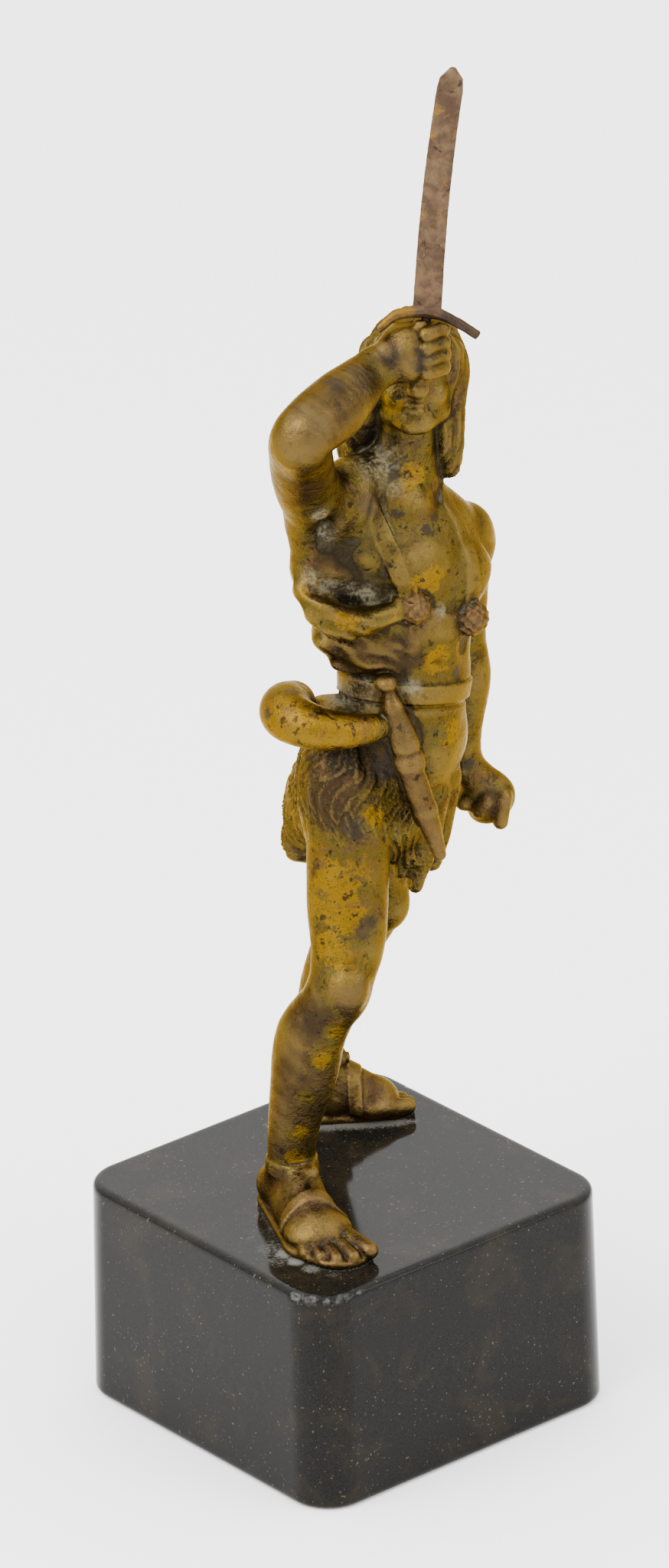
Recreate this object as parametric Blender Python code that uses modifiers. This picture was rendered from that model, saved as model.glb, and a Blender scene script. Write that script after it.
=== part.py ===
"""Small bronze statuette of a young huntsman with a raised sword, on a polished stone block.

The figure is built the way a sculptor builds it: an armature of limbs and masses, each one a
tapered stick or an egg of clay, blended into its neighbours, with hair, fur, cloth and sandals
laid over it and carved. Clay positions are given in clay units, 1214 of them from the soles to
the crown, in the figure's own frame: +X to its viewer's right, +Y away from the viewer, +Z up.
"""
import math

import bmesh
import bpy
import numpy as np
from mathutils import Matrix

# Driving sizes, in metres
FIGURE_HEIGHT = 0.1942
BLOCK_WIDTH = 0.081
BLOCK_DEPTH = 0.081
BLOCK_HEIGHT = 0.049
BLOCK_TAPER = 0.0007
BLOCK_CORNER_RADIUS = 0.0095
BLOCK_EDGE_RADIUS = 0.0015
VIEW_TURN = math.radians(-39.4)
SEAT_GAP = 0.0003
BLADE_LENGTH = 0.0520
BLADE_WIDTH = 0.0058
BLADE_THICKNESS = 0.0022
BLADE_BOW = 0.0007
TENON_RADIUS = 0.0010
TENON_LENGTH = 0.0040
TENON_CLEARANCE = 0.0003
CLAY_GRAIN = 0.0010
FIGURE_TRIANGLES = 8400

CLAY_TALL = 1214.0
UNIT = FIGURE_HEIGHT / CLAY_TALL


# Clay shapes: each has a distance function and a rough solid to start from

def unit(v):
    v = np.asarray(v, float)
    return v / np.linalg.norm(v)


def soft_min(a, b, k):
    h = np.maximum(k - np.abs(a - b), 0.0) / k
    return np.minimum(a, b) - h * h * k * 0.25


def ball_points():
    bm = bmesh.new()
    bmesh.ops.create_icosphere(bm, subdivisions=2, radius=1.0)
    points = [tuple(v.co) for v in bm.verts]
    bm.free()
    return points


BALL = ball_points()


class Stick:
    """A tapered stick with round ends."""

    def __init__(self, a, b):
        self.a = np.array(a[:3], float)
        self.b = np.array(b[:3], float)
        self.ra = a[3]
        self.rb = b[3]

    def box(self):
        low = np.minimum(self.a - self.ra, self.b - self.rb)
        high = np.maximum(self.a + self.ra, self.b + self.rb)
        return low, high

    def distance(self, p):
        axis = self.b - self.a
        along = p - self.a
        t = np.clip(along @ axis / (axis @ axis), 0.0, 1.0)
        gap = along - t[:, None] * axis
        return np.sqrt((gap * gap).sum(1)) - (self.ra + (self.rb - self.ra) * t)

    def rough(self, bm):
        for centre, radius in ((self.a, self.ra), (self.b, self.rb)):
            for x, y, z in BALL:
                bm.verts.new(centre + radius * np.array((x, y, z)))
        hull = bmesh.ops.convex_hull(bm, input=bm.verts)
        spare = {g for g in hull["geom_interior"] + hull["geom_unused"] if isinstance(g, bmesh.types.BMVert)}
        bmesh.ops.delete(bm, geom=list(spare), context="VERTS")


class Egg:
    """An ellipsoid: radii along its side, its front and its up direction."""

    def __init__(self, centre, radii, side=(1, 0, 0), up=(0, 0, 1)):
        self.centre = np.array(centre, float)
        self.radii = np.array(radii, float)
        s = unit(side)
        u = np.asarray(up, float)
        u = unit(u - (u @ s) * s)
        self.axes = np.array([s, np.cross(s, u), u])

    def box(self):
        reach = np.sqrt(((self.axes * self.radii[:, None]) ** 2).sum(0))
        return self.centre - reach, self.centre + reach

    def distance(self, p):
        q = (p - self.centre) @ self.axes.T
        k0 = np.sqrt(((q / self.radii) ** 2).sum(1)) + 1e-9
        k1 = np.sqrt(((q / self.radii ** 2) ** 2).sum(1)) + 1e-9
        return k0 * (k0 - 1.0) / k1

    def rough(self, bm):
        ball = bmesh.ops.create_icosphere(bm, subdivisions=3, radius=1.0)["verts"]
        for v in ball:
            v.co = self.centre + (np.array(v.co) * self.radii) @ self.axes


class Slab(Stick):
    """A flat plate with a stick's outline, seen from above, between two levels."""

    def __init__(self, a, b, low, high):
        super().__init__((a[0], a[1], 0, a[2]), (b[0], b[1], 0, b[2]))
        self.low = low
        self.high = high

    def box(self):
        low, high = super().box()
        return np.array((*low[:2], self.low)), np.array((*high[:2], self.high))

    def distance(self, p):
        round_edge = 4.0
        flat = super().distance(p * (1, 1, 0)) + round_edge
        level = np.abs(p[:, 2] - (self.low + self.high) / 2) - (self.high - self.low) / 2 + round_edge
        outside = np.sqrt(np.maximum(flat, 0) ** 2 + np.maximum(level, 0) ** 2)
        return outside + np.minimum(np.maximum(flat, level), 0) - round_edge

    def rough(self, bm):
        for centre, radius in ((self.a, self.ra), (self.b, self.rb)):
            for i in range(24):
                turn = math.tau * i / 24
                for z in (self.low, self.high):
                    bm.verts.new((centre[0] + radius * math.cos(turn), centre[1] + radius * math.sin(turn), z))
        bmesh.ops.convex_hull(bm, input=bm.verts)


def smooth_route(points, steps=7):
    """Extra points along a smooth curve through the given ones, radius included."""
    pts = [np.array(q, float) for q in points]
    pts = [2 * pts[0] - pts[1], *pts, 2 * pts[-1] - pts[-2]]
    out = []
    for a, b, c, d in zip(pts, pts[1:], pts[2:], pts[3:]):
        for i in range(steps):
            t = i / steps
            out.append(0.5 * (2 * b + (c - a) * t + (2 * a - 5 * b + 4 * c - d) * t ** 2
                              + (3 * b - a - 3 * c + d) * t ** 3))
    out.append(pts[-2])
    return out


class Limb:
    """A run of short tapered sticks along a smooth curve."""

    def __init__(self, points):
        route = smooth_route(points)
        self.sticks = [Stick(a, b) for a, b in zip(route, route[1:])]
        self.spans = [Stick(a, b) for a, b in zip(points, points[1:])]

    def box(self):
        boxes = [stick.box() for stick in self.sticks]
        return np.min([low for low, _ in boxes], axis=0), np.max([high for _, high in boxes], axis=0)

    def distance(self, p):
        return np.min([stick.distance(p) for stick in self.sticks], axis=0)

    def rough(self, bm):
        for span in self.spans:
            piece = bmesh.new()
            span.rough(piece)
            spare = bpy.data.meshes.new("spare")
            piece.to_mesh(spare)
            piece.free()
            bm.from_mesh(spare)
            bpy.data.meshes.remove(spare)


def limb(points, soft=9.0):
    return [(Limb(points), soft)]


class Mass:
    """A group of shapes blended together, with its own surface relief."""

    def __init__(self, name, shapes, soft, relief=None, reach=0.0):
        self.name = name
        self.shapes = shapes
        self.soft = soft
        self.relief = relief
        self.reach = reach

    def distance(self, p):
        d = np.full(len(p), 400.0)
        for shape, soft in self.shapes:
            low, high = shape.box()
            margin = 40.0 + soft + self.reach
            near = np.all((p > low - margin) & (p < high + margin), axis=1)
            if near.any():
                d[near] = soft_min(d[near], shape.distance(p[near]), soft)
        if self.relief is not None:
            near = np.abs(d) < 40.0
            if near.any():
                d[near] -= self.relief(p[near])
        return d


# The armature, in clay units

CHEST_SIDE = (0.66, 0.70, -0.25)
HIP_SIDE = (0.41, 0.91, 0.0)
HEAD_CENTRE = np.array((117.0, 6.0, 1126.0))
HEAD_TILT = math.radians(24)
GUARD_ROUTE = ((72, -106, 1240, 5), (92, -100, 1256, 7), (116, -96, 1260, 8), (136, -95, 1260, 10),
               (156, -95, 1252, 7), (178, -95, 1239, 6.5), (197, -95, 1225, 6))
BLADE_ROOT = np.array((134.0, -95.0, 1260.0))
BLADE_AIM = unit((39.0, 0.0, 326.0))
RIGHT_SOLE = ((-77, -56, 34), (-34, -182, 45), (-6, -208, 44))
LEFT_SOLE = ((-58, 190, 29), (40, 203, 35), (62, 207, 36))
COLLAR_BONE = ((52, -64, 984), (84, -54, 970), (118, -48, 962), (160, 4, 936))
STRAPS = (((44, -62, 1012), (64, -76, 968), (84, -90, 922), (104, -100, 876)),
          ((140, 10, 980), (172, -20, 925), (184, -36, 870), (186, -36, 824)))
FINGER_LEVELS = (1238, 1220, 1203, 1187)


def smooth_step(x):
    x = np.clip(x, 0.0, 1.0)
    return x * x * (3.0 - 2.0 * x)


def band(p, route, half_width, height, edge=3.0):
    """A raised ribbon along a route over the surface."""
    points = [np.array(q, float) for q in route]
    near = np.full(len(p), 1e6)
    for a, b in zip(points, points[1:]):
        axis = b - a
        t = np.clip((p - a) @ axis / (axis @ axis), 0.0, 1.0)
        gap = p - a - t[:, None] * axis
        near = np.minimum(near, np.sqrt((gap * gap).sum(1)))
    return height * smooth_step((half_width - near) / edge + 0.5)


def ring(level, half_width, height, edge=3.0):
    return height * smooth_step((half_width - np.abs(level)) / edge + 0.5)


def tunic_relief(p):
    """Collar bones, shoulder straps, the cloth's top edge between the bosses, the belt and soft folds."""
    x, y, z = p.T
    out = band(p, COLLAR_BONE, 3, 1.6, 10)
    for route in STRAPS:
        out = np.maximum(out, band(p, route, 13, 2.2))
    top_edge = 872 - 0.62 * (x - 112) - 10 * np.sin(np.clip((x - 112) / 76, 0, 1) * math.pi)
    cloth = smooth_step((top_edge - z) / 6.0) * smooth_step((z - 560) / 20.0)
    out = np.maximum(out, 2.4 * cloth * smooth_step((x - 92) / 14))
    angle = np.arctan2(y - 5, x - 90)
    folds = np.sin(9 * angle + 0.02 * z + 1.5 * np.sin(2 * angle)) * smooth_step((835 - z) / 60)
    out = out + 1.5 * folds * cloth * smooth_step((z - 742) / 20)
    belt = z - 718 + 0.10 * (x - 90) + 0.24 * (y + 30)
    out = out + ring(belt, 13, 3.4) - ring(belt + 20, 3, 1.6)
    out = out + 1.4 * np.sin(6 * angle + 0.5) * smooth_step((690 - z) / 60) * cloth
    return out


def strand_relief(p, centre, count, depth, wobble):
    """Strands of hair that run down from a crown point."""
    x, y, z = (p - np.array(centre)).T
    angle = np.arctan2(y, x)
    wave = np.sin(count * angle + wobble * np.sin(0.035 * z + 2 * angle))
    finer = np.sin(2.3 * count * angle + 1.7 * wobble * np.sin(0.05 * z))
    return depth * (0.7 * wave + 0.3 * finer)


def hair_relief(p):
    return strand_relief(p, (118, 22, 1200), 15, 2.2, 1.4)


def fur_relief(p):
    """Combed fur: soft locks in staggered rows, thicker at their hanging ends, cut by finer strands."""
    x, y, z = p.T
    angle = np.arctan2(y - 20, x - 48)
    around = 13 * (angle + 0.14 * np.sin(0.045 * z + 3 * angle))
    row = (z + 9 * np.sin(2.1 * around)) / 52.0
    fall = row - np.floor(row)
    lock = np.abs(np.cos(around / 2 + np.floor(row) * math.pi / 2)) ** 0.7
    hem = 1.0 + 0.8 * smooth_step((520 - z) / 60)
    strands = np.sin(3.1 * around + 1.6 * np.sin(0.05 * z)) + 0.6 * np.sin(7.3 * around + 0.06 * z)
    fur = 2.7 * hem * (1.0 - fall) ** 1.5 * lock + 0.8 * strands - 1.0
    smooth_hip = smooth_step((x - 100) / 24) * smooth_step((90 - y) / 50)
    return fur + (1.6 * np.sin(7 * angle + 1.0) - fur) * smooth_hip


def boss_relief(centre):
    def petals(p):
        q = p - np.array(centre, float)
        return 1.8 * np.sin(0.42 * q[:, 0]) * np.sin(0.42 * q[:, 1] + 1) * np.sin(0.42 * q[:, 2] + 2)
    return petals


def roll_relief(p):
    """Long soft creases along the rolled cloth."""
    x, y, z = p.T
    return 2.2 * np.sin(0.16 * z + 0.05 * x + 1.5 * np.sin(0.05 * (x - y)))


def head_point(side, front, up):
    """A point given from the middle of the head, by the head's own directions."""
    c, s = math.cos(HEAD_TILT), math.sin(HEAD_TILT)
    return HEAD_CENTRE + np.array((side, -c * front + s * up, s * front + c * up))


def head_stick(a, b):
    return Stick((*head_point(*a[:3]), a[3]), (*head_point(*b[:3]), b[3]))


def head_egg(at, radii):
    up = head_point(0, 0, 1) - HEAD_CENTRE
    return Egg(head_point(*at), radii, side=(1, 0, 0), up=up)


def body_mass():
    shapes = [
        (Egg((54, 20, 600), (98, 84, 92), HIP_SIDE), 20),
        (Egg((92, 6, 640), (84, 80, 92), HIP_SIDE), 26),
        (Egg((96, 2, 725), (89, 80, 78), (0.55, 0.83, 0)), 26),
        (Egg((104, 0, 838), (100, 82, 122), CHEST_SIDE), 26),
        (Egg((110, -2, 905), (102, 64, 68), CHEST_SIDE), 24),
        (Egg((118, -62, 894), (48, 25, 42), CHEST_SIDE, (0.2, 0.0, 1)), 18),
        (Egg((42, -60, 925), (44, 27, 52)), 24),
        (Egg((64, -74, 874), (34, 16, 22)), 20),
        (Egg((88, -38, 972), (44, 26, 34)), 18),
        (Egg((174, -12, 864), (44, 25, 40), CHEST_SIDE, (0.2, 0.0, 1)), 18),
        (Stick((104, 18, 1002, 30), (34, -42, 1008, 34)), 20),
        (Stick((108, 12, 986, 25), (162, 54, 906, 31)), 18),
        (Stick((104, 6, 960, 40), (107, 0, 1075, 35)), 24),
        (Egg((24, -62, 985), (40, 38, 42)), 20),
        (Stick((-14, -66, 960, 36), (-2, -52, 895, 38)), 18),
        (Stick((-2, -52, 895, 38), (44, 0, 800, 50)), 22),
        (Egg((171, 74, 872), (42, 42, 46)), 18),
        (Egg((181, 68, 892), (32, 34, 33)), 12),
        (Egg((4, -36, 692), (34, 40, 15)), 8),
    ]
    return Mass("body", shapes, 1.0, tunic_relief, 6)


def leg_masses():
    right = ((20, -46, 560, 56), (19, -60, 508, 54), (16, -74, 436, 52.5), (16, -84, 405, 50),
             (14, -94, 380, 46.5), (7, -104, 348, 42), (1, -108, 327, 42), (-12, -106, 305, 39.5),
             (-23, -101, 286, 41.5), (-36, -96, 258, 45), (-43, -92, 219, 44.5), (-48, -90, 190, 41.5),
             (-58, -88, 142, 35), (-64, -84, 95, 31.5), (-64, -82, 67, 31.5))
    left = ((64, 92, 560, 57), (62, 100, 508, 54), (56, 115, 437, 52), (50, 128, 370, 47), (44, 134, 335, 45),
            (24, 142, 292, 43), (7, 150, 256, 42), (-11, 168, 196, 39), (-18, 184, 147, 34),
            (-24, 193, 100, 29), (-24, 196, 70, 29))
    kneecaps = ([(Egg((14, -138, 345), (24, 18, 28)), 14)], [(Egg((74, 116, 342), (22, 24, 30)), 14)])
    out = []
    for name, route, cap, soft in (("right leg", right, kneecaps[0], 16), ("left leg", left, kneecaps[1], 16)):
        out.append(Mass(name, limb(route, 5) + cap, soft, strap_relief(route[-1])))
    return out


def strap_relief(low):
    def ankle_strap(p):
        return ring(p[:, 2] - (low[2] + 4), 10, 2.2, 2.5)
    return ankle_strap


def foot_mass(name, sole, heel, ball, toes, ankle, knot):
    """A sandalled foot: heel, instep, five toes, a thick sole and a knotted ankle strap."""
    heel = np.array(heel, float)
    ball = np.array(ball, float)
    ankle = np.array(ankle, float)
    run = unit((ball - heel) * (1, 1, 0))
    across = np.array((-run[1], run[0], 0.0))
    middle = (heel + ball) / 2
    outer = unit(np.subtract(toes[-1][0], toes[0][0]) * (1, 1, 0))
    shapes = [
        (Stick((*heel, 31), (*(ankle * 0.6 + heel * 0.4), 28)), 12),
        (Stick((*(heel + outer * 3), 27), (*(ball + outer * 22 - run * 12), 19)), 12),
        (Stick((*ankle, 29), (*(ball * 0.66 + ankle * 0.34 + (0, 0, 6)), 24)), 18),
        (Stick((*(middle + (0, 0, 4)), 31), (*(ball + (0, 0, 2)), 27)), 18),
        (Egg(ball, (45, 36, 23), across), 14),
    ]
    for a, b in zip(sole, sole[1:]):
        shapes.append((Slab(a, b, -4, 9), 3))
    for start, end, radius in toes:
        shapes.append((Stick((*start, radius + 1.5), (*end, radius)), 4))
    shapes.append((Egg(knot, (12, 12, 11)), 4))

    def strap(p):
        level = (p - (ball - run * 22)) @ run
        return ring(level - 0.1 * ((p - ball) @ across), 9, 3.0, 2.5) * smooth_step((p[:, 2] - 10) / 6)

    return Mass(name, shapes, 9, strap)


def feet_masses():
    right = (((6, -196, 17), (33, -226, 13), 11.5), ((-10, -204, 16), (12, -238, 11), 9.0),
             ((-26, -206, 15), (-9, -241, 10), 8.5), ((-42, -202, 14), (-30, -234, 10), 8.0),
             ((-58, -192, 13), (-50, -220, 9), 7.5))
    left = (((60, 174, 17), (88, 184, 13), 11.5), ((60, 190, 16), (90, 201, 11), 9.0),
            ((56, 204, 15), (82, 215, 10), 8.5), ((48, 216, 14), (70, 227, 10), 8.0),
            ((38, 226, 13), (56, 236, 9), 7.5))
    return [
        foot_mass("right foot", RIGHT_SOLE, (-78, -56, 27), (-32, -182, 20), right, (-63, -82, 62), (-42, -116, 70)),
        foot_mass("left foot", LEFT_SOLE, (-58, 188, 27), (42, 198, 20), left, (-23, 196, 62), (0, 188, 86)),
    ]


def arm_masses():
    right = limb(((-10, -80, 996, 43), (-23, -116, 1042, 41), (-28, -166, 1100, 40), (-24, -212, 1146, 39),
                  (16, -170, 1165, 41), (48, -127, 1180, 31.5), (68, -108, 1190, 26)), 7)
    right.append((Egg((-34, -220, 1136), (22, 22, 26)), 12))
    left = limb(((172, 84, 866, 41), (171, 108, 790, 36), (172, 126, 715, 31.5), (178, 136, 655, 31),
                 (170, 150, 580, 27), (173, 160, 528, 22)), 7)
    left_hand = [
        (Stick((174, 161, 520, 22), (196, 166, 486, 27)), 12),
        (Egg((206, 166, 466), (30, 26, 36), (0.8, 0.0, -0.6)), 12),
        (Stick((222, 148, 476, 12), (218, 146, 442, 10)), 5),
        (Stick((200, 144, 474, 11), (190, 148, 458, 10)), 5),
        (Stick((186, 166, 470, 12), (204, 172, 450, 12)), 6),
        (Stick((184, 162, 484, 15), (172, 157, 468, 13)), 6),
    ]
    return [Mass("right arm", right, 20), Mass("left arm", left, 18), Mass("left hand", left_hand, 10)]


def fist_mass():
    """The raised fist round the grip, with the grip's knobbed pommel below it."""
    shapes = [
        (Egg((110, -98, 1206), (37, 31, 38)), 10),
        (Stick((68, -108, 1190, 26), (98, -100, 1202, 29)), 12),
        (Stick((124, -98, 1170, 12), (126, -98, 1240, 12)), 4),
        (Egg((120, -100, 1157), (14, 15, 12)), 5),
        (Egg((121, -101, 1145), (7, 7, 6)), 4),
        (Stick((82, -112, 1214, 15), (104, -76, 1232, 13)), 6),
        (Stick((104, -76, 1232, 13), (134, -68, 1234, 12)), 4),
    ]
    for level in FINGER_LEVELS:
        knuckle = (132, -119, level, 10)
        bend = (152, -99, level - 1, 10)
        tip = (134, -72, level - 3, 10)
        shapes.append((Stick(knuckle, bend), 3))
        shapes.append((Stick(bend, tip), 3))
    return Mass("fist", shapes, 8)


def head_mass():
    shapes = [
        (head_egg((0, 2, 12), (50, 62, 60)), 10),
        (head_egg((0, 18, -14), (42, 38, 48)), 14),
        (head_egg((0, 38, -54), (19, 15, 15)), 14),
        (head_stick((-32, 8, -40, 13), (-8, 40, -56, 12)), 10),
        (head_stick((32, 8, -40, 13), (8, 40, -56, 12)), 10),
        (head_stick((-24, 50, 10, 6), (24, 50, 10, 6)), 8),
        (head_stick((0, 56, 8, 6), (0, 65, -17, 8)), 6),
        (head_egg((-8, 55, -19), (6, 7, 5)), 4),
        (head_egg((8, 55, -19), (6, 7, 5)), 4),
        (head_egg((-18, 47, -2), (9, 7, 6)), 3),
        (head_egg((18, 47, -2), (9, 7, 6)), 3),
        (head_egg((-25, 40, -18), (14, 13, 14)), 10),
        (head_egg((25, 40, -18), (14, 13, 14)), 10),
        (head_egg((0, 54, -34), (13, 5, 3.5)), 4),
        (head_egg((0, 53, -41), (11, 5, 4)), 4),
    ]
    return Mass("head", shapes, 10)


def hair_mass():
    shapes = [
        (Egg((120, 30, 1151), (60, 62, 60), (1, 0, 0), (0, 0.35, 0.94)), 10),
        (Egg((104, 52, 1085), (66, 38, 88)), 18),
        *limb(((70, 0, 1168, 20), (63, 8, 1128, 22), (49, 20, 1076, 29), (45, 34, 1022, 27)), 12),
        *limb(((162, -6, 1168, 20), (162, 0, 1138, 24), (161, 8, 1090, 20), (159, 14, 1042, 20),
               (158, 22, 1004, 17)), 12),
        *limb(((84, -22, 1186, 15), (116, -32, 1196, 15), (148, -22, 1188, 15)), 12),
    ]
    return Mass("hair", shapes, 7, hair_relief, 4)


def cloth_masses():
    """The rolled top of the tunic that sags under the raised arm, and the gathered cloth below it."""
    roll = limb(((6, 34, 868, 22), (-14, -16, 888, 22), (-26, -66, 900, 19), (-14, -99, 872, 22),
                 (12, -110, 847, 21), (46, -110, 845, 20), (80, -103, 858, 17), (104, -92, 866, 13)), 12)
    roll += limb(((6, 34, 868, 22), (30, 66, 862, 24), (84, 92, 850, 24), (140, 78, 832, 22)), 12)
    gather = [(Egg((46, -62, 790), (56, 32, 36), (0.92, -0.38, 0)), 16)]
    gather += limb(((-6, -40, 812, 17), (2, -58, 800, 19), (16, -62, 776, 15)), 10)
    return [Mass("rolled cloth", roll, 7, roll_relief, 3), Mass("gathered cloth", gather, 12, roll_relief, 3)]


def fur_mass():
    shapes = [
        (Egg((50, 24, 546), (110, 99, 86), HIP_SIDE), 12),
        (Egg((50, 18, 590), (106, 92, 78), HIP_SIDE), 14),
        (Egg((12, -40, 590), (58, 60, 84)), 14),
        (Stick((22, -42, 590, 56), (20, -54, 552, 57)), 12),
        (Stick((70, 86, 600, 60), (63, 97, 528, 59)), 12),
        (Egg((-10, 40, 528), (51, 64, 70)), 14),
        (Stick((-34, 44, 505, 30), (-44, 50, 462, 22)), 12),
        (Stick((-14, 42, 500, 30), (-16, 46, 456, 22)), 12),
        (Egg((40, 84, 560), (60, 52, 84)), 14),
        *limb(((98, -20, 560, 30), (92, -14, 490, 22), (88, -10, 452, 12)), 8),
        *limb(((126, -18, 566, 28), (117, -10, 486, 20), (105, -6, 428, 10)), 8),
        *limb(((140, 10, 570, 26), (134, 16, 496, 18), (126, 14, 450, 12)), 8),
    ]
    return Mass("fur", shapes, 10, fur_relief, 8)


def horn_mass():
    route = ((70, -100, 696, 14), (54, -112, 699, 18), (26, -128, 703, 22), (-6, -134, 708, 27),
             (-34, -126, 713, 30), (-53, -102, 714, 33), (-56, -74, 712, 33), (-47, -48, 706, 30))
    return Mass("horn", limb(route, 6), 5)


def dagger_mass():
    shapes = [
        (Egg((71, -101, 756), (15, 15, 12), (1, 0, 0), (-0.2, 0, 1)), 3),
        (Stick((74, -102, 744, 8), (79, -104, 724, 13)), 4),
        (Stick((79, -104, 724, 13), (95, -108, 672, 18.5)), 4),
        (Stick((99, -108, 651, 20), (100, -108, 647, 20)), 1),
        (Stick((100, -108, 640, 17), (118, -106, 580, 15.5)), 2),
        (Stick((118, -106, 580, 16), (135, -100, 514, 9)), 3),
        (Stick((84, -80, 700, 18), (118, -84, 560, 16)), 6),
    ]
    return Mass("dagger", shapes, 4)


def boss_masses():
    out = []
    for centre, radius in (((109, -94, 856), 22), ((181, -34, 814), 24)):
        out.append(Mass("boss", [(Egg(centre, (radius,) * 3), 2)], 3, boss_relief(centre), 3))
    return out


def all_masses():
    return [body_mass(), *arm_masses(), *leg_masses(), fur_mass(), *cloth_masses(), *feet_masses(),
            head_mass(), hair_mass(), fist_mass(), horn_mass(), dagger_mass(), *boss_masses()]


MASSES = all_masses()
HOLLOWS = ((Egg((0, -126, 950), (14, 28, 40), (1, 0, 0), (0.1, 0.2, 1)), 16),
           (Egg((22, -108, 884), (58, 14, 11), (0.96, 0.05, -0.16)), 14))
GUARD_CLAY = Mass("guard", [(Stick(a, b), 3) for a, b in zip(GUARD_ROUTE, GUARD_ROUTE[1:])], 1)


def clay_distance(p):
    """How far each point is from the finished clay surface, negative inside."""
    d = np.full(len(p), 400.0)
    for mass in MASSES:
        d = soft_min(d, mass.distance(p), mass.soft)
    for hollow, soft in HOLLOWS:
        d = -soft_min(-d, hollow.distance(p), soft)
    clearance = TENON_CLEARANCE / UNIT
    d = np.maximum(d, clearance - GUARD_CLAY.distance(p))
    return np.maximum(d, -p[:, 2])


# From clay to mesh

def collection_named(name):
    box = bpy.data.collections.new(name)
    bpy.context.scene.collection.children.link(box)
    return box


def evaluated_mesh(obj):
    graph = bpy.context.evaluated_depsgraph_get()
    return bpy.data.meshes.new_from_object(obj.evaluated_get(graph))


def rough_clay(collection):
    """Every stick and egg as a rough solid, fused by a voxel remesh."""
    bm = bmesh.new()
    for mass in MASSES:
        for shape, _ in mass.shapes:
            piece = bmesh.new()
            shape.rough(piece)
            spare = bpy.data.meshes.new("spare")
            piece.to_mesh(spare)
            piece.free()
            bm.from_mesh(spare)
            bpy.data.meshes.remove(spare)
    bmesh.ops.recalc_face_normals(bm, faces=bm.faces)
    bmesh.ops.scale(bm, verts=bm.verts, vec=(UNIT, UNIT, UNIT))
    mesh = bpy.data.meshes.new("rough_clay")
    bm.to_mesh(mesh)
    bm.free()
    obj = bpy.data.objects.new("rough_clay", mesh)
    collection.objects.link(obj)
    fuse = obj.modifiers.new("fuse", "REMESH")
    fuse.mode = "VOXEL"
    fuse.voxel_size = CLAY_GRAIN
    return obj


def press_to_clay(mesh, passes):
    """Moves every point along its normal onto the clay's surface."""
    count = len(mesh.vertices)
    co = np.empty(count * 3, np.float32)
    normal = np.empty(count * 3, np.float32)
    for step in range(passes):
        mesh.vertices.foreach_get("co", co)
        mesh.vertex_normals.foreach_get("vector", normal)
        p = co.reshape(-1, 3) / UNIT
        n = normal.reshape(-1, 3).astype(float)
        move = np.clip(clay_distance(p), -5.0, 5.0) * (0.9 if step else 0.6)
        p = p - n * move[:, None]
        p[:, 2] = np.maximum(p[:, 2], 0.0)
        mesh.vertices.foreach_set("co", (p * UNIT).astype(np.float32).ravel())
        mesh.update()


def largest_piece(mesh):
    """Keeps the outer skin and drops any crumbs or inner bubbles."""
    bm = bmesh.new()
    bm.from_mesh(mesh)
    bm.verts.ensure_lookup_table()
    unseen = set(bm.verts)
    best = []
    while unseen:
        stack = [unseen.pop()]
        group = list(stack)
        while stack:
            v = stack.pop()
            for e in v.link_edges:
                w = e.other_vert(v)
                if w in unseen:
                    unseen.remove(w)
                    group.append(w)
                    stack.append(w)
        if len(group) > len(best):
            best = group
    keep = set(best)
    bmesh.ops.delete(bm, geom=[v for v in bm.verts if v not in keep], context="VERTS")
    bmesh.ops.triangulate(bm, faces=bm.faces)
    bm.to_mesh(mesh)
    bm.free()


def plain_material(name, colour, roughness, metallic):
    m = bpy.data.materials.new(name)
    m.use_nodes = True
    shader = m.node_tree.nodes["Principled BSDF"]
    shader.inputs["Base Color"].default_value = (*colour, 1.0)
    shader.inputs["Roughness"].default_value = roughness
    shader.inputs["Metallic"].default_value = metallic
    return m


def figure(parts, cutters, stand):
    rough = rough_clay(parts)
    mesh = evaluated_mesh(rough)
    bpy.data.objects.remove(rough)
    largest_piece(mesh)
    press_to_clay(mesh, 4)
    obj = bpy.data.objects.new("bronze_figure", mesh)
    parts.objects.link(obj)
    refuse = obj.modifiers.new("even_clay", "REMESH")
    refuse.mode = "VOXEL"
    refuse.voxel_size = CLAY_GRAIN
    even = evaluated_mesh(obj)
    obj.modifiers.remove(refuse)
    obj.data = even
    largest_piece(even)
    press_to_clay(even, 4)
    even.shade_smooth()
    thin = obj.modifiers.new("thin_out", "DECIMATE")
    thin.ratio = min(1.0, FIGURE_TRIANGLES / len(even.polygons))
    thin.use_collapse_triangulate = True
    cut = obj.modifiers.new("tenon_socket", "BOOLEAN")
    cut.operation = "DIFFERENCE"
    cut.solver = "EXACT"
    cut.object = socket_cutter(cutters, stand)
    obj.parent = stand
    obj.data.materials.append(plain_material("golden_brown_bronze", (0.36, 0.24, 0.08), 0.42, 1.0))
    return obj


# The sword, made apart from the figure and seated in the fist by a tenon

def place_along(obj, origin, aim, stand):
    """Puts an object's origin at a clay point and turns its Z along a direction."""
    z = unit(aim)
    x = unit(np.cross((0, 1, 0), z))
    y = np.cross(z, x)
    obj.parent = stand
    obj.location = np.asarray(origin) * UNIT
    obj.rotation_euler = matrix_from_axes(x, y, z).to_euler()


def matrix_from_axes(x, y, z):
    return Matrix(((x[0], y[0], z[0]), (x[1], y[1], z[1]), (x[2], y[2], z[2])))


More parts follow.
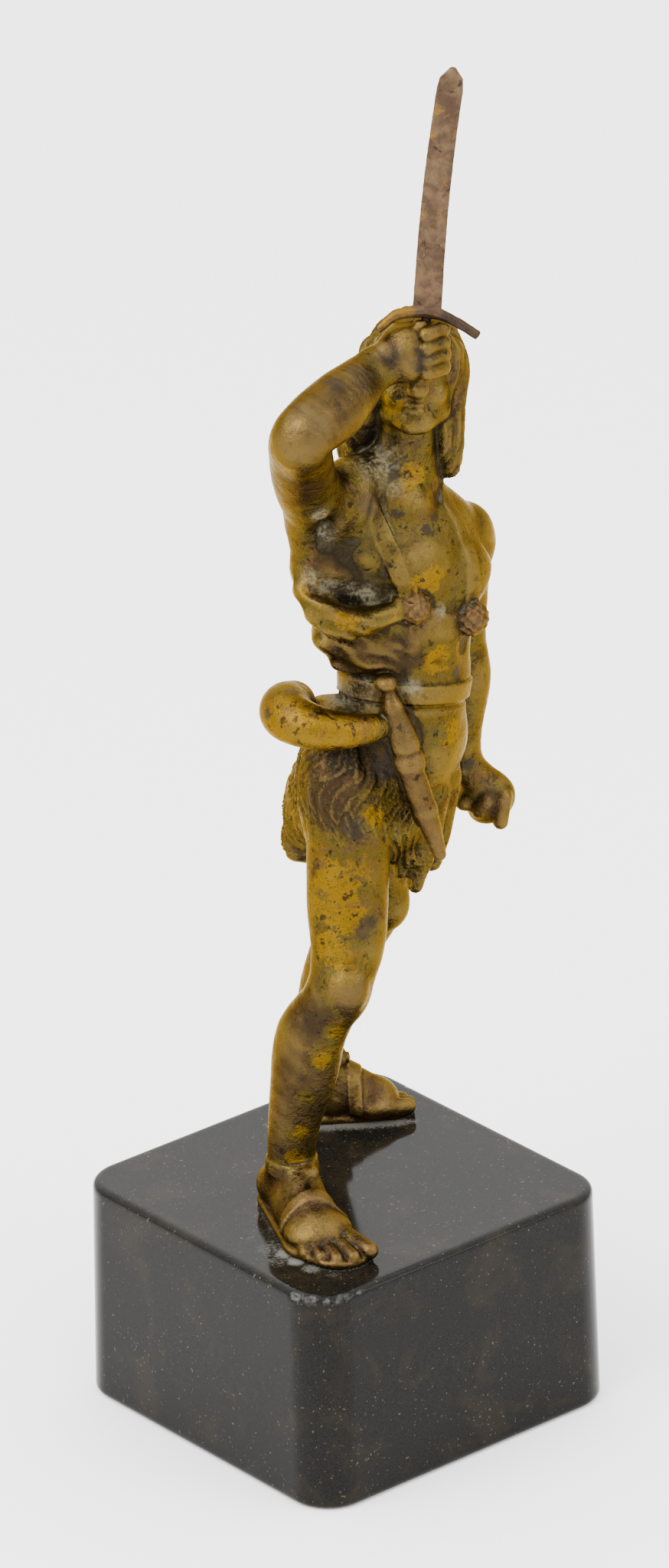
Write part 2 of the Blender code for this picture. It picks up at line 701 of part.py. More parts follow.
def blade_mesh():
    """A box drawn out into a slightly bowed blade with a middle ridge and a chisel point."""
    bm = bmesh.new()
    bmesh.ops.create_cube(bm, size=1.0)
    long_edges = [e for e in bm.edges if abs(e.verts[0].co.z - e.verts[1].co.z) > 0.5]
    bmesh.ops.subdivide_edges(bm, edges=long_edges, cuts=22, use_grid_fill=True)
    wide_edges = [e for e in bm.edges if abs(e.verts[0].co.x - e.verts[1].co.x) > 0.5]
    bmesh.ops.subdivide_edges(bm, edges=wide_edges, cuts=3, use_grid_fill=True)
    point_length = 0.45 * BLADE_WIDTH
    for v in bm.verts:
        t = v.co.z + 0.5
        side = v.co.x * 2.0
        body = min(1.0, (1.0 - t) * BLADE_LENGTH / point_length)
        width = BLADE_WIDTH * (1.0 - 0.10 * t) * (0.22 + 0.78 * body)
        ridge = 1.0 - 0.62 * abs(side)
        thick = BLADE_THICKNESS * (1.0 - 0.35 * t) * ridge
        bow = -BLADE_BOW * math.sin(math.pi * t)
        v.co.x = 0.5 * side * width + bow
        v.co.y = (1.0 if v.co.y > 0 else -1.0) * 0.5 * thick
        v.co.z = t * BLADE_LENGTH
    bmesh.ops.recalc_face_normals(bm, faces=bm.faces)
    mesh = bpy.data.meshes.new("sword")
    bm.to_mesh(mesh)
    bm.free()
    return mesh


def guard_solid(cutters, stand):
    """Two drooping quillons drawn as one tapered bar."""
    curve = bpy.data.curves.new("guard_bar", "CURVE")
    curve.dimensions = "3D"
    curve.bevel_depth = 1.0
    curve.bevel_resolution = 3
    curve.use_fill_caps = True
    line = curve.splines.new("POLY")
    route = smooth_route(GUARD_ROUTE, 3)
    line.points.add(len(route) - 1)
    for point, (x, y, z, r) in zip(line.points, route):
        point.co = (x * UNIT, y * UNIT, z * UNIT, 1.0)
        point.radius = r * UNIT
    bar = bpy.data.objects.new("guard_bar", curve)
    cutters.objects.link(bar)
    mesh = evaluated_mesh(bar)
    bpy.data.objects.remove(bar)
    bm = bmesh.new()
    bm.from_mesh(mesh)
    bmesh.ops.remove_doubles(bm, verts=bm.verts, dist=0.00001)
    bmesh.ops.recalc_face_normals(bm, faces=bm.faces)
    bm.to_mesh(mesh)
    bm.free()
    return hidden_tool("guard_solid", mesh, cutters, stand)


def hidden_tool(name, mesh, cutters, stand):
    tool = bpy.data.objects.new(name, mesh)
    cutters.objects.link(tool)
    tool.parent = stand
    tool.hide_render = True
    tool.display_type = "WIRE"
    return tool


def rod(name, radius, length, top, cutters, stand):
    """A round bar that hangs down from the blade's root, its top a little above it."""
    bm = bmesh.new()
    bmesh.ops.create_cone(bm, cap_ends=True, segments=20, radius1=radius, radius2=radius, depth=length + top)
    bmesh.ops.translate(bm, verts=bm.verts, vec=(0, 0, (top - length) / 2))
    mesh = bpy.data.meshes.new(name)
    bm.to_mesh(mesh)
    bm.free()
    tool = hidden_tool(name, mesh, cutters, stand)
    place_along(tool, BLADE_ROOT, BLADE_AIM, stand)
    return tool


def socket_cutter(cutters, stand):
    deep = TENON_LENGTH + TENON_CLEARANCE
    return rod("socket_cutter", TENON_RADIUS + TENON_CLEARANCE, deep, 0.002, cutters, stand)


def sword(parts, cutters, stand):
    obj = bpy.data.objects.new("sword", blade_mesh())
    parts.objects.link(obj)
    place_along(obj, BLADE_ROOT, BLADE_AIM, stand)
    tools = (guard_solid(cutters, stand), rod("tenon", TENON_RADIUS, TENON_LENGTH, 0.0012, cutters, stand))
    for tool in tools:
        join = obj.modifiers.new("join_" + tool.name, "BOOLEAN")
        join.operation = "UNION"
        join.solver = "EXACT"
        join.object = tool
    obj.data.materials.append(plain_material("red_brown_bronze", (0.27, 0.14, 0.09), 0.45, 1.0))
    return obj


# The stone block

def stone_block(parts):
    bm = bmesh.new()
    bmesh.ops.create_cube(bm, size=1.0)
    bmesh.ops.scale(bm, verts=bm.verts, vec=(BLOCK_WIDTH, BLOCK_DEPTH, BLOCK_HEIGHT))
    bmesh.ops.translate(bm, verts=bm.verts, vec=(0, 0, BLOCK_HEIGHT / 2))
    upright = [e for e in bm.edges if abs(e.verts[0].co.z - e.verts[1].co.z) > BLOCK_HEIGHT / 2]
    bmesh.ops.bevel(bm, geom=upright, offset=BLOCK_CORNER_RADIUS, offset_type="OFFSET", segments=7,
                    profile=0.5, affect="EDGES")
    for v in bm.verts:
        if v.co.z > BLOCK_HEIGHT / 2:
            v.co.x *= 1.0 - 2 * BLOCK_TAPER / BLOCK_WIDTH
            v.co.y *= 1.0 - 2 * BLOCK_TAPER / BLOCK_DEPTH
    rims = [e for e in bm.edges if abs(e.verts[0].co.z - e.verts[1].co.z) < 1e-6]
    bmesh.ops.bevel(bm, geom=rims, offset=BLOCK_EDGE_RADIUS, offset_type="OFFSET", segments=2,
                    profile=0.5, affect="EDGES")
    mesh = bpy.data.meshes.new("stone_block")
    bm.to_mesh(mesh)
    bm.free()
    obj = bpy.data.objects.new("stone_block", mesh)
    parts.objects.link(obj)
    obj.data.materials.append(plain_material("black_green_granite", (0.012, 0.014, 0.012), 0.08, 0.0))
    return obj


def main():
    for obj in list(bpy.data.objects):
        bpy.data.objects.remove(obj)
    parts = collection_named("bronze_statuette")
    cutters = collection_named("cutters")
    stand = bpy.data.objects.new("figure_place", None)
    parts.objects.link(stand)
    stand.location = (0, 0, BLOCK_HEIGHT + SEAT_GAP)
    stand.rotation_euler = (0, 0, VIEW_TURN)
    stone_block(parts)
    sword(parts, cutters, stand)
    figure(parts, cutters, stand)


main()
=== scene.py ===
"""A small bronze youth with a raised sword on a granite block: fine clay, patina, stone, light, camera."""

import math

import bmesh
import bpy
import numpy as np
from mathutils import Matrix, Vector


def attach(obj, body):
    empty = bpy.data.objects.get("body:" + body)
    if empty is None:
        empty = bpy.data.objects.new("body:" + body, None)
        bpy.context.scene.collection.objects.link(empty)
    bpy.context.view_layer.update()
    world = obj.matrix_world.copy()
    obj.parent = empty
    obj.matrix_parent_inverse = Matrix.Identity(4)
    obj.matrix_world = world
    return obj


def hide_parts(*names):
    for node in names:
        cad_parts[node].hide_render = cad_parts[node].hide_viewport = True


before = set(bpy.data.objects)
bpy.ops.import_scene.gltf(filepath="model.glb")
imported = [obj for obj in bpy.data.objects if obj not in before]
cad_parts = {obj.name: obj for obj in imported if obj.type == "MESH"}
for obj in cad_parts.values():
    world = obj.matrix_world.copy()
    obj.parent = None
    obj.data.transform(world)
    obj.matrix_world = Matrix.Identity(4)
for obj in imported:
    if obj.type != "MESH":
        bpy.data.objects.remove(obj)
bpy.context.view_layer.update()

# Sizes shared with the solids, in metres
FIGURE_HEIGHT = 0.1942
BLOCK_WIDTH = 0.081
BLOCK_HEIGHT = 0.049
BLOCK_TAPER = 0.0007
BLOCK_CORNER_RADIUS = 0.0095
BLOCK_EDGE_RADIUS = 0.0015
VIEW_TURN = math.radians(-39.4)
SEAT_GAP = 0.0003
CLAY_TALL = 1214.0
UNIT = FIGURE_HEIGHT / CLAY_TALL
COARSE_GRAIN = 0.0010
FINE_GRAIN = 0.00036
FINE_TRIANGLES = 190000


# Clay shapes: each has a distance function and a rough solid to start from

def unit(v):
    v = np.asarray(v, float)
    return v / np.linalg.norm(v)


def soft_min(a, b, k):
    h = np.maximum(k - np.abs(a - b), 0.0) / k
    return np.minimum(a, b) - h * h * k * 0.25


def ball_points():
    bm = bmesh.new()
    bmesh.ops.create_icosphere(bm, subdivisions=2, radius=1.0)
    points = [tuple(v.co) for v in bm.verts]
    bm.free()
    return points


BALL = ball_points()


class Stick:
    """A tapered stick with round ends."""

    def __init__(self, a, b):
        self.a = np.array(a[:3], float)
        self.b = np.array(b[:3], float)
        self.ra = a[3]
        self.rb = b[3]

    def box(self):
        low = np.minimum(self.a - self.ra, self.b - self.rb)
        high = np.maximum(self.a + self.ra, self.b + self.rb)
        return low, high

    def distance(self, p):
        axis = self.b - self.a
        along = p - self.a
        t = np.clip(along @ axis / (axis @ axis), 0.0, 1.0)
        gap = along - t[:, None] * axis
        return np.sqrt((gap * gap).sum(1)) - (self.ra + (self.rb - self.ra) * t)

    def rough(self, bm):
        for centre, radius in ((self.a, self.ra), (self.b, self.rb)):
            for x, y, z in BALL:
                bm.verts.new(centre + radius * np.array((x, y, z)))
        hull = bmesh.ops.convex_hull(bm, input=bm.verts)
        inner = hull["geom_interior"] + hull["geom_unused"]
        spare = {g for g in inner if isinstance(g, bmesh.types.BMVert)}
        bmesh.ops.delete(bm, geom=list(spare), context="VERTS")


class Egg:
    """An ellipsoid: radii along its side, its front and its up direction."""

    def __init__(self, centre, radii, side=(1, 0, 0), up=(0, 0, 1)):
        self.centre = np.array(centre, float)
        self.radii = np.array(radii, float)
        s = unit(side)
        u = np.asarray(up, float)
        u = unit(u - (u @ s) * s)
        self.axes = np.array([s, np.cross(s, u), u])

    def box(self):
        reach = np.sqrt(((self.axes * self.radii[:, None]) ** 2).sum(0))
        return self.centre - reach, self.centre + reach

    def distance(self, p):
        q = (p - self.centre) @ self.axes.T
        k0 = np.sqrt(((q / self.radii) ** 2).sum(1)) + 1e-9
        k1 = np.sqrt(((q / self.radii ** 2) ** 2).sum(1)) + 1e-9
        return k0 * (k0 - 1.0) / k1

    def rough(self, bm):
        ball = bmesh.ops.create_icosphere(bm, subdivisions=3, radius=1.0)["verts"]
        for v in ball:
            v.co = self.centre + (np.array(v.co) * self.radii) @ self.axes


class Slab(Stick):
    """A flat plate with a stick's outline, seen from above, between two levels."""

    def __init__(self, a, b, low, high):
        super().__init__((a[0], a[1], 0, a[2]), (b[0], b[1], 0, b[2]))
        self.low = low
        self.high = high

    def box(self):
        low, high = super().box()
        return np.array((*low[:2], self.low)), np.array((*high[:2], self.high))

    def distance(self, p):
        round_edge = 4.0
        flat = super().distance(p * (1, 1, 0)) + round_edge
        level = np.abs(p[:, 2] - (self.low + self.high) / 2) - (self.high - self.low) / 2 + round_edge
        outside = np.sqrt(np.maximum(flat, 0) ** 2 + np.maximum(level, 0) ** 2)
        return outside + np.minimum(np.maximum(flat, level), 0) - round_edge

    def rough(self, bm):
        for centre, radius in ((self.a, self.ra), (self.b, self.rb)):
            for i in range(24):
                turn = math.tau * i / 24
                x = centre[0] + radius * math.cos(turn)
                y = centre[1] + radius * math.sin(turn)
                for z in (self.low, self.high):
                    bm.verts.new((x, y, z))
        bmesh.ops.convex_hull(bm, input=bm.verts)


def smooth_route(points, steps=7):
    """Extra points along a smooth curve through the given ones, radius included."""
    pts = [np.array(q, float) for q in points]
    pts = [2 * pts[0] - pts[1], *pts, 2 * pts[-1] - pts[-2]]
    out = []
    for a, b, c, d in zip(pts, pts[1:], pts[2:], pts[3:]):
        for i in range(steps):
            t = i / steps
            out.append(0.5 * (2 * b + (c - a) * t + (2 * a - 5 * b + 4 * c - d) * t ** 2
                              + (3 * b - a - 3 * c + d) * t ** 3))
    out.append(pts[-2])
    return out


def add_rough(bm, shape):
    """Adds a shape's own rough solid to the clay."""
    piece = bmesh.new()
    shape.rough(piece)
    spare = bpy.data.meshes.new("spare")
    piece.to_mesh(spare)
    piece.free()
    bm.from_mesh(spare)
    bpy.data.meshes.remove(spare)


class Limb:
    """A run of short tapered sticks along a smooth curve."""

    def __init__(self, points):
        route = smooth_route(points)
        self.sticks = [Stick(a, b) for a, b in zip(route, route[1:])]
        self.spans = [Stick(a, b) for a, b in zip(points, points[1:])]

    def box(self):
        boxes = [stick.box() for stick in self.sticks]
        return np.min([low for low, _ in boxes], axis=0), np.max([high for _, high in boxes], axis=0)

    def distance(self, p):
        return np.min([stick.distance(p) for stick in self.sticks], axis=0)

    def rough(self, bm):
        for span in self.spans:
            add_rough(bm, span)


def limb(points, soft=9.0):
    return [(Limb(points), soft)]


class Mass:
    """A group of shapes blended together, with its own surface relief."""

    def __init__(self, name, shapes, soft, relief=None, reach=0.0):
        self.name = name
        self.shapes = shapes
        self.soft = soft
        self.relief = relief
        self.reach = reach

    def distance(self, p):
        d = np.full(len(p), 400.0)
        for shape, soft in self.shapes:
            low, high = shape.box()
            margin = 40.0 + soft + self.reach
            near = np.all((p > low - margin) & (p < high + margin), axis=1)
            if near.any():
                d[near] = soft_min(d[near], shape.distance(p[near]), soft)
        if self.relief is not None:
            near = np.abs(d) < 40.0
            if near.any():
                d[near] -= self.relief(p[near])
        return d


# The armature, in clay units

CHEST_SIDE = (0.66, 0.70, -0.25)
HIP_SIDE = (0.41, 0.91, 0.0)
HEAD_CENTRE = np.array((117.0, 6.0, 1126.0))
HEAD_TILT = math.radians(24)
GUARD_ROUTE = ((72, -106, 1240, 5), (92, -100, 1256, 7), (116, -96, 1260, 8), (136, -95, 1260, 10),
               (156, -95, 1252, 7), (178, -95, 1239, 6.5), (197, -95, 1225, 6))
RIGHT_SOLE = ((-77, -56, 34), (-34, -182, 45), (-6, -208, 44))
LEFT_SOLE = ((-58, 190, 29), (40, 203, 35), (62, 207, 36))
COLLAR_BONE = ((52, -64, 984), (84, -54, 970), (118, -48, 962), (160, 4, 936))
STRAPS = (((44, -62, 1012), (64, -76, 968), (84, -90, 922), (104, -100, 876)),
          ((140, 10, 980), (172, -20, 925), (184, -36, 870), (186, -36, 824)))
FINGER_LEVELS = (1238, 1220, 1203, 1187)


def smooth_step(x):
    x = np.clip(x, 0.0, 1.0)
    return x * x * (3.0 - 2.0 * x)


def band(p, route, half_width, height, edge=3.0):
    """A raised ribbon along a route over the surface."""
    points = [np.array(q, float) for q in route]
    near = np.full(len(p), 1e6)
    for a, b in zip(points, points[1:]):
        axis = b - a
        t = np.clip((p - a) @ axis / (axis @ axis), 0.0, 1.0)
        gap = p - a - t[:, None] * axis
        near = np.minimum(near, np.sqrt((gap * gap).sum(1)))
    return height * smooth_step((half_width - near) / edge + 0.5)


def ring(level, half_width, height, edge=3.0):
    return height * smooth_step((half_width - np.abs(level)) / edge + 0.5)


def tunic_relief(p):
    """Collar bones, shoulder straps, the cloth's top edge between the bosses, the belt and soft folds."""
    x, y, z = p.T
    out = band(p, COLLAR_BONE, 3, 1.6, 10)
    for route in STRAPS:
        out = np.maximum(out, band(p, route, 13, 2.2))
    top_edge = 872 - 0.62 * (x - 112) - 10 * np.sin(np.clip((x - 112) / 76, 0, 1) * math.pi)
    cloth = smooth_step((top_edge - z) / 6.0) * smooth_step((z - 560) / 20.0)
    out = np.maximum(out, 2.4 * cloth * smooth_step((x - 92) / 14))
    angle = np.arctan2(y - 5, x - 90)
    folds = np.sin(9 * angle + 0.02 * z + 1.5 * np.sin(2 * angle)) * smooth_step((835 - z) / 60)
    out = out + 1.5 * folds * cloth * smooth_step((z - 742) / 20)
    belt = z - 718 + 0.10 * (x - 90) + 0.24 * (y + 30)
    out = out + ring(belt, 13, 3.4) - ring(belt + 20, 3, 1.6)
    out = out + 1.4 * np.sin(6 * angle + 0.5) * smooth_step((690 - z) / 60) * cloth
    return out


def strand_relief(p, centre, count, depth, wobble):
    """Strands of hair that run down from a crown point."""
    x, y, z = (p - np.array(centre)).T
    angle = np.arctan2(y, x)
    wave = np.sin(count * angle + wobble * np.sin(0.035 * z + 2 * angle))
    finer = np.sin(2.3 * count * angle + 1.7 * wobble * np.sin(0.05 * z))
    return depth * (0.7 * wave + 0.3 * finer)


def hair_relief(p):
    return strand_relief(p, (118, 22, 1200), 15, 2.2, 1.4)


def fur_relief(p):
    """Combed fur: soft locks in staggered rows, thicker at their hanging ends, cut by finer strands."""
    x, y, z = p.T
    angle = np.arctan2(y - 20, x - 48)
    around = 13 * (angle + 0.14 * np.sin(0.045 * z + 3 * angle))
    row = (z + 9 * np.sin(2.1 * around)) / 52.0
    fall = row - np.floor(row)
    lock = np.abs(np.cos(around / 2 + np.floor(row) * math.pi / 2)) ** 0.7
    hem = 1.0 + 0.8 * smooth_step((520 - z) / 60)
    strands = np.sin(3.1 * around + 1.6 * np.sin(0.05 * z)) + 0.6 * np.sin(7.3 * around + 0.06 * z)
    fur = 2.7 * hem * (1.0 - fall) ** 1.5 * lock + 0.8 * strands - 1.0
    smooth_hip = smooth_step((x - 100) / 24) * smooth_step((90 - y) / 50)
    return fur + (1.6 * np.sin(7 * angle + 1.0) - fur) * smooth_hip


def boss_relief(centre):
    def petals(p):
        q = p - np.array(centre, float)
        return 1.8 * np.sin(0.42 * q[:, 0]) * np.sin(0.42 * q[:, 1] + 1) * np.sin(0.42 * q[:, 2] + 2)
    return petals


def roll_relief(p):
    """Long soft creases along the rolled cloth."""
    x, y, z = p.T
    return 2.2 * np.sin(0.16 * z + 0.05 * x + 1.5 * np.sin(0.05 * (x - y)))


def head_point(side, front, up):
    """A point given from the middle of the head, by the head's own directions."""
    c, s = math.cos(HEAD_TILT), math.sin(HEAD_TILT)
    return HEAD_CENTRE + np.array((side, -c * front + s * up, s * front + c * up))


def head_stick(a, b):
    return Stick((*head_point(*a[:3]), a[3]), (*head_point(*b[:3]), b[3]))


def head_egg(at, radii):
    up = head_point(0, 0, 1) - HEAD_CENTRE
    return Egg(head_point(*at), radii, side=(1, 0, 0), up=up)


def body_mass():
    shapes = [
        (Egg((54, 20, 600), (98, 84, 92), HIP_SIDE), 20),
        (Egg((92, 6, 640), (84, 80, 92), HIP_SIDE), 26),
        (Egg((96, 2, 725), (89, 80, 78), (0.55, 0.83, 0)), 26),
        (Egg((104, 0, 838), (100, 82, 122), CHEST_SIDE), 26),
        (Egg((110, -2, 905), (102, 64, 68), CHEST_SIDE), 24),
        (Egg((118, -62, 894), (48, 25, 42), CHEST_SIDE, (0.2, 0.0, 1)), 18),
        (Egg((42, -60, 925), (44, 27, 52)), 24),
        (Egg((64, -74, 874), (34, 16, 22)), 20),
        (Egg((88, -38, 972), (44, 26, 34)), 18),
        (Egg((174, -12, 864), (44, 25, 40), CHEST_SIDE, (0.2, 0.0, 1)), 18),
        (Stick((104, 18, 1002, 30), (34, -42, 1008, 34)), 20),
        (Stick((108, 12, 986, 25), (162, 54, 906, 31)), 18),
        (Stick((104, 6, 960, 40), (107, 0, 1075, 35)), 24),
        (Egg((24, -62, 985), (40, 38, 42)), 20),
        (Stick((-14, -66, 960, 36), (-2, -52, 895, 38)), 18),
        (Stick((-2, -52, 895, 38), (44, 0, 800, 50)), 22),
        (Egg((171, 74, 872), (42, 42, 46)), 18),
        (Egg((181, 68, 892), (32, 34, 33)), 12),
        (Egg((4, -36, 692), (34, 40, 15)), 8),
    ]
    return Mass("body", shapes, 1.0, tunic_relief, 6)


def leg_masses():
    right = ((20, -46, 560, 56), (19, -60, 508, 54), (16, -74, 436, 52.5), (16, -84, 405, 50),
             (14, -94, 380, 46.5), (7, -104, 348, 42), (1, -108, 327, 42), (-12, -106, 305, 39.5),
             (-23, -101, 286, 41.5), (-36, -96, 258, 45), (-43, -92, 219, 44.5), (-48, -90, 190, 41.5),
             (-58, -88, 142, 35), (-64, -84, 95, 31.5), (-64, -82, 67, 31.5))
    left = ((64, 92, 560, 57), (62, 100, 508, 54), (56, 115, 437, 52), (50, 128, 370, 47),
            (44, 134, 335, 45), (24, 142, 292, 43), (7, 150, 256, 42), (-11, 168, 196, 39),
            (-18, 184, 147, 34), (-24, 193, 100, 29), (-24, 196, 70, 29))
    right_cap = Egg((14, -138, 345), (24, 18, 28))
    left_cap = Egg((74, 116, 342), (22, 24, 30))
    out = []
    for name, route, cap in (("right leg", right, right_cap), ("left leg", left, left_cap)):
        out.append(Mass(name, [*limb(route, 5), (cap, 14)], 16, strap_relief(route[-1])))
    return out


def strap_relief(low):
    def ankle_strap(p):
        return ring(p[:, 2] - (low[2] + 4), 10, 2.2, 2.5)
    return ankle_strap


def foot_mass(name, sole, heel, ball, toes, ankle, knot):
    """A sandalled foot: heel, instep, five toes, a thick sole and a knotted ankle strap."""
    heel = np.array(heel, float)
    ball = np.array(ball, float)
    ankle = np.array(ankle, float)
    run = unit((ball - heel) * (1, 1, 0))
    across = np.array((-run[1], run[0], 0.0))
    middle = (heel + ball) / 2
    outer = unit(np.subtract(toes[-1][0], toes[0][0]) * (1, 1, 0))
    shapes = [
        (Stick((*heel, 31), (*(ankle * 0.6 + heel * 0.4), 28)), 12),
        (Stick((*(heel + outer * 3), 27), (*(ball + outer * 22 - run * 12), 19)), 12),
        (Stick((*ankle, 29), (*(ball * 0.66 + ankle * 0.34 + (0, 0, 6)), 24)), 18),
        (Stick((*(middle + (0, 0, 4)), 31), (*(ball + (0, 0, 2)), 27)), 18),
        (Egg(ball, (45, 36, 23), across), 14),
    ]
    for a, b in zip(sole, sole[1:]):
        shapes.append((Slab(a, b, -4, 9), 3))
    for start, end, radius in toes:
        shapes.append((Stick((*start, radius + 1.5), (*end, radius)), 4))
    shapes.append((Egg(knot, (12, 12, 11)), 4))

    def strap(p):
        level = (p - (ball - run * 22)) @ run
        return ring(level - 0.1 * ((p - ball) @ across), 9, 3.0, 2.5) * smooth_step((p[:, 2] - 10) / 6)

    return Mass(name, shapes, 9, strap)


def feet_masses():
    right = (((6, -196, 17), (33, -226, 13), 11.5), ((-10, -204, 16), (12, -238, 11), 9.0),
             ((-26, -206, 15), (-9, -241, 10), 8.5), ((-42, -202, 14), (-30, -234, 10), 8.0),
             ((-58, -192, 13), (-50, -220, 9), 7.5))
    left = (((60, 174, 17), (88, 184, 13), 11.5), ((60, 190, 16), (90, 201, 11), 9.0),
            ((56, 204, 15), (82, 215, 10), 8.5), ((48, 216, 14), (70, 227, 10), 8.0),
            ((38, 226, 13), (56, 236, 9), 7.5))
    return [
        foot_mass("right foot", RIGHT_SOLE, heel=(-78, -56, 27), ball=(-32, -182, 20), toes=right,
                  ankle=(-63, -82, 62), knot=(-42, -116, 70)),
        foot_mass("left foot", LEFT_SOLE, heel=(-58, 188, 27), ball=(42, 198, 20), toes=left,
                  ankle=(-23, 196, 62), knot=(0, 188, 86)),
    ]


def arm_masses():
    right = limb(((-10, -80, 996, 43), (-23, -116, 1042, 41), (-28, -166, 1100, 40), (-24, -212, 1146, 39),
                  (16, -170, 1165, 41), (48, -127, 1180, 31.5), (68, -108, 1190, 26)), 7)
    right.append((Egg((-34, -220, 1136), (22, 22, 26)), 12))
    left = limb(((172, 84, 866, 41), (171, 108, 790, 36), (172, 126, 715, 31.5), (178, 136, 655, 31),
                 (170, 150, 580, 27), (173, 160, 528, 22)), 7)
    left_hand = [
        (Stick((174, 161, 520, 22), (196, 166, 486, 27)), 12),
        (Egg((206, 166, 466), (30, 26, 36), (0.8, 0.0, -0.6)), 12),
        (Stick((222, 148, 476, 12), (218, 146, 442, 10)), 5),
        (Stick((200, 144, 474, 11), (190, 148, 458, 10)), 5),
        (Stick((186, 166, 470, 12), (204, 172, 450, 12)), 6),
        (Stick((184, 162, 484, 15), (172, 157, 468, 13)), 6),
    ]
    return [Mass("right arm", right, 20), Mass("left arm", left, 18), Mass("left hand", left_hand, 10)]


def fist_mass():
    """The raised fist round the grip, with the grip's knobbed pommel below it."""
    shapes = [
        (Egg((110, -98, 1206), (37, 31, 38)), 10),
        (Stick((68, -108, 1190, 26), (98, -100, 1202, 29)), 12),
        (Stick((124, -98, 1170, 12), (126, -98, 1240, 12)), 4),
        (Egg((120, -100, 1157), (14, 15, 12)), 5),
        (Egg((121, -101, 1145), (7, 7, 6)), 4),
        (Stick((82, -112, 1214, 15), (104, -76, 1232, 13)), 6),
        (Stick((104, -76, 1232, 13), (134, -68, 1234, 12)), 4),
    ]
    for level in FINGER_LEVELS:
        knuckle = (132, -119, level, 10)
        bend = (152, -99, level - 1, 10)
        tip = (134, -72, level - 3, 10)
        shapes.append((Stick(knuckle, bend), 3))
        shapes.append((Stick(bend, tip), 3))
    return Mass("fist", shapes, 8)


def head_mass():
    shapes = [
        (head_egg((0, 2, 12), (50, 62, 60)), 10),
        (head_egg((0, 18, -14), (42, 38, 48)), 14),
        (head_egg((0, 38, -54), (19, 15, 15)), 14),
        (head_stick((-32, 8, -40, 13), (-8, 40, -56, 12)), 10),
        (head_stick((32, 8, -40, 13), (8, 40, -56, 12)), 10),
        (head_stick((-24, 50, 10, 6), (24, 50, 10, 6)), 8),
        (head_stick((0, 56, 8, 6), (0, 65, -17, 8)), 6),
        (head_egg((-8, 55, -19), (6, 7, 5)), 4),
        (head_egg((8, 55, -19), (6, 7, 5)), 4),
        (head_egg((-18, 47, -2), (9, 7, 6)), 3),
        (head_egg((18, 47, -2), (9, 7, 6)), 3),
        (head_egg((-25, 40, -18), (14, 13, 14)), 10),
        (head_egg((25, 40, -18), (14, 13, 14)), 10),
        (head_egg((0, 54, -34), (13, 5, 3.5)), 4),
        (head_egg((0, 53, -41), (11, 5, 4)), 4),
    ]
    return Mass("head", shapes, 10)


def hair_mass():
    shapes = [
        (Egg((120, 30, 1151), (60, 62, 60), (1, 0, 0), (0, 0.35, 0.94)), 10),
        (Egg((104, 52, 1085), (66, 38, 88)), 18),
        *limb(((70, 0, 1168, 20), (63, 8, 1128, 22), (49, 20, 1076, 29), (45, 34, 1022, 27)), 12),
        *limb(((162, -6, 1168, 20), (162, 0, 1138, 24), (161, 8, 1090, 20), (159, 14, 1042, 20),
               (158, 22, 1004, 17)), 12),
        *limb(((84, -22, 1186, 15), (116, -32, 1196, 15), (148, -22, 1188, 15)), 12),
    ]
    return Mass("hair", shapes, 7, hair_relief, 4)


def cloth_masses():
    """The rolled top of the tunic that sags under the raised arm, and the gathered cloth below it."""
    roll = limb(((6, 34, 868, 22), (-14, -16, 888, 22), (-26, -66, 900, 19), (-14, -99, 872, 22),
                 (12, -110, 847, 21), (46, -110, 845, 20), (80, -103, 858, 17), (104, -92, 866, 13)), 12)
    roll += limb(((6, 34, 868, 22), (30, 66, 862, 24), (84, 92, 850, 24), (140, 78, 832, 22)), 12)
    gather = [(Egg((46, -62, 790), (56, 32, 36), (0.92, -0.38, 0)), 16)]
    gather += limb(((-6, -40, 812, 17), (2, -58, 800, 19), (16, -62, 776, 15)), 10)
    return [Mass("rolled cloth", roll, 7, roll_relief, 3),
            Mass("gathered cloth", gather, 12, roll_relief, 3)]


def fur_mass():
    shapes = [
        (Egg((50, 24, 546), (110, 99, 86), HIP_SIDE), 12),
        (Egg((50, 18, 590), (106, 92, 78), HIP_SIDE), 14),
        (Egg((12, -40, 590), (58, 60, 84)), 14),
        (Stick((22, -42, 590, 56), (20, -54, 552, 57)), 12),
        (Stick((70, 86, 600, 60), (63, 97, 528, 59)), 12),
        (Egg((-10, 40, 528), (51, 64, 70)), 14),
        (Stick((-34, 44, 505, 30), (-44, 50, 462, 22)), 12),
        (Stick((-14, 42, 500, 30), (-16, 46, 456, 22)), 12),
        (Egg((40, 84, 560), (60, 52, 84)), 14),
        *limb(((98, -20, 560, 30), (92, -14, 490, 22), (88, -10, 452, 12)), 8),
        *limb(((126, -18, 566, 28), (117, -10, 486, 20), (105, -6, 428, 10)), 8),
        *limb(((140, 10, 570, 26), (134, 16, 496, 18), (126, 14, 450, 12)), 8),
    ]
    return Mass("fur", shapes, 10, fur_relief, 8)


def horn_mass():
    route = ((70, -100, 696, 14), (54, -112, 699, 18), (26, -128, 703, 22), (-6, -134, 708, 27),
             (-34, -126, 713, 30), (-53, -102, 714, 33), (-56, -74, 712, 33), (-47, -48, 706, 30))
    return Mass("horn", limb(route, 6), 5)


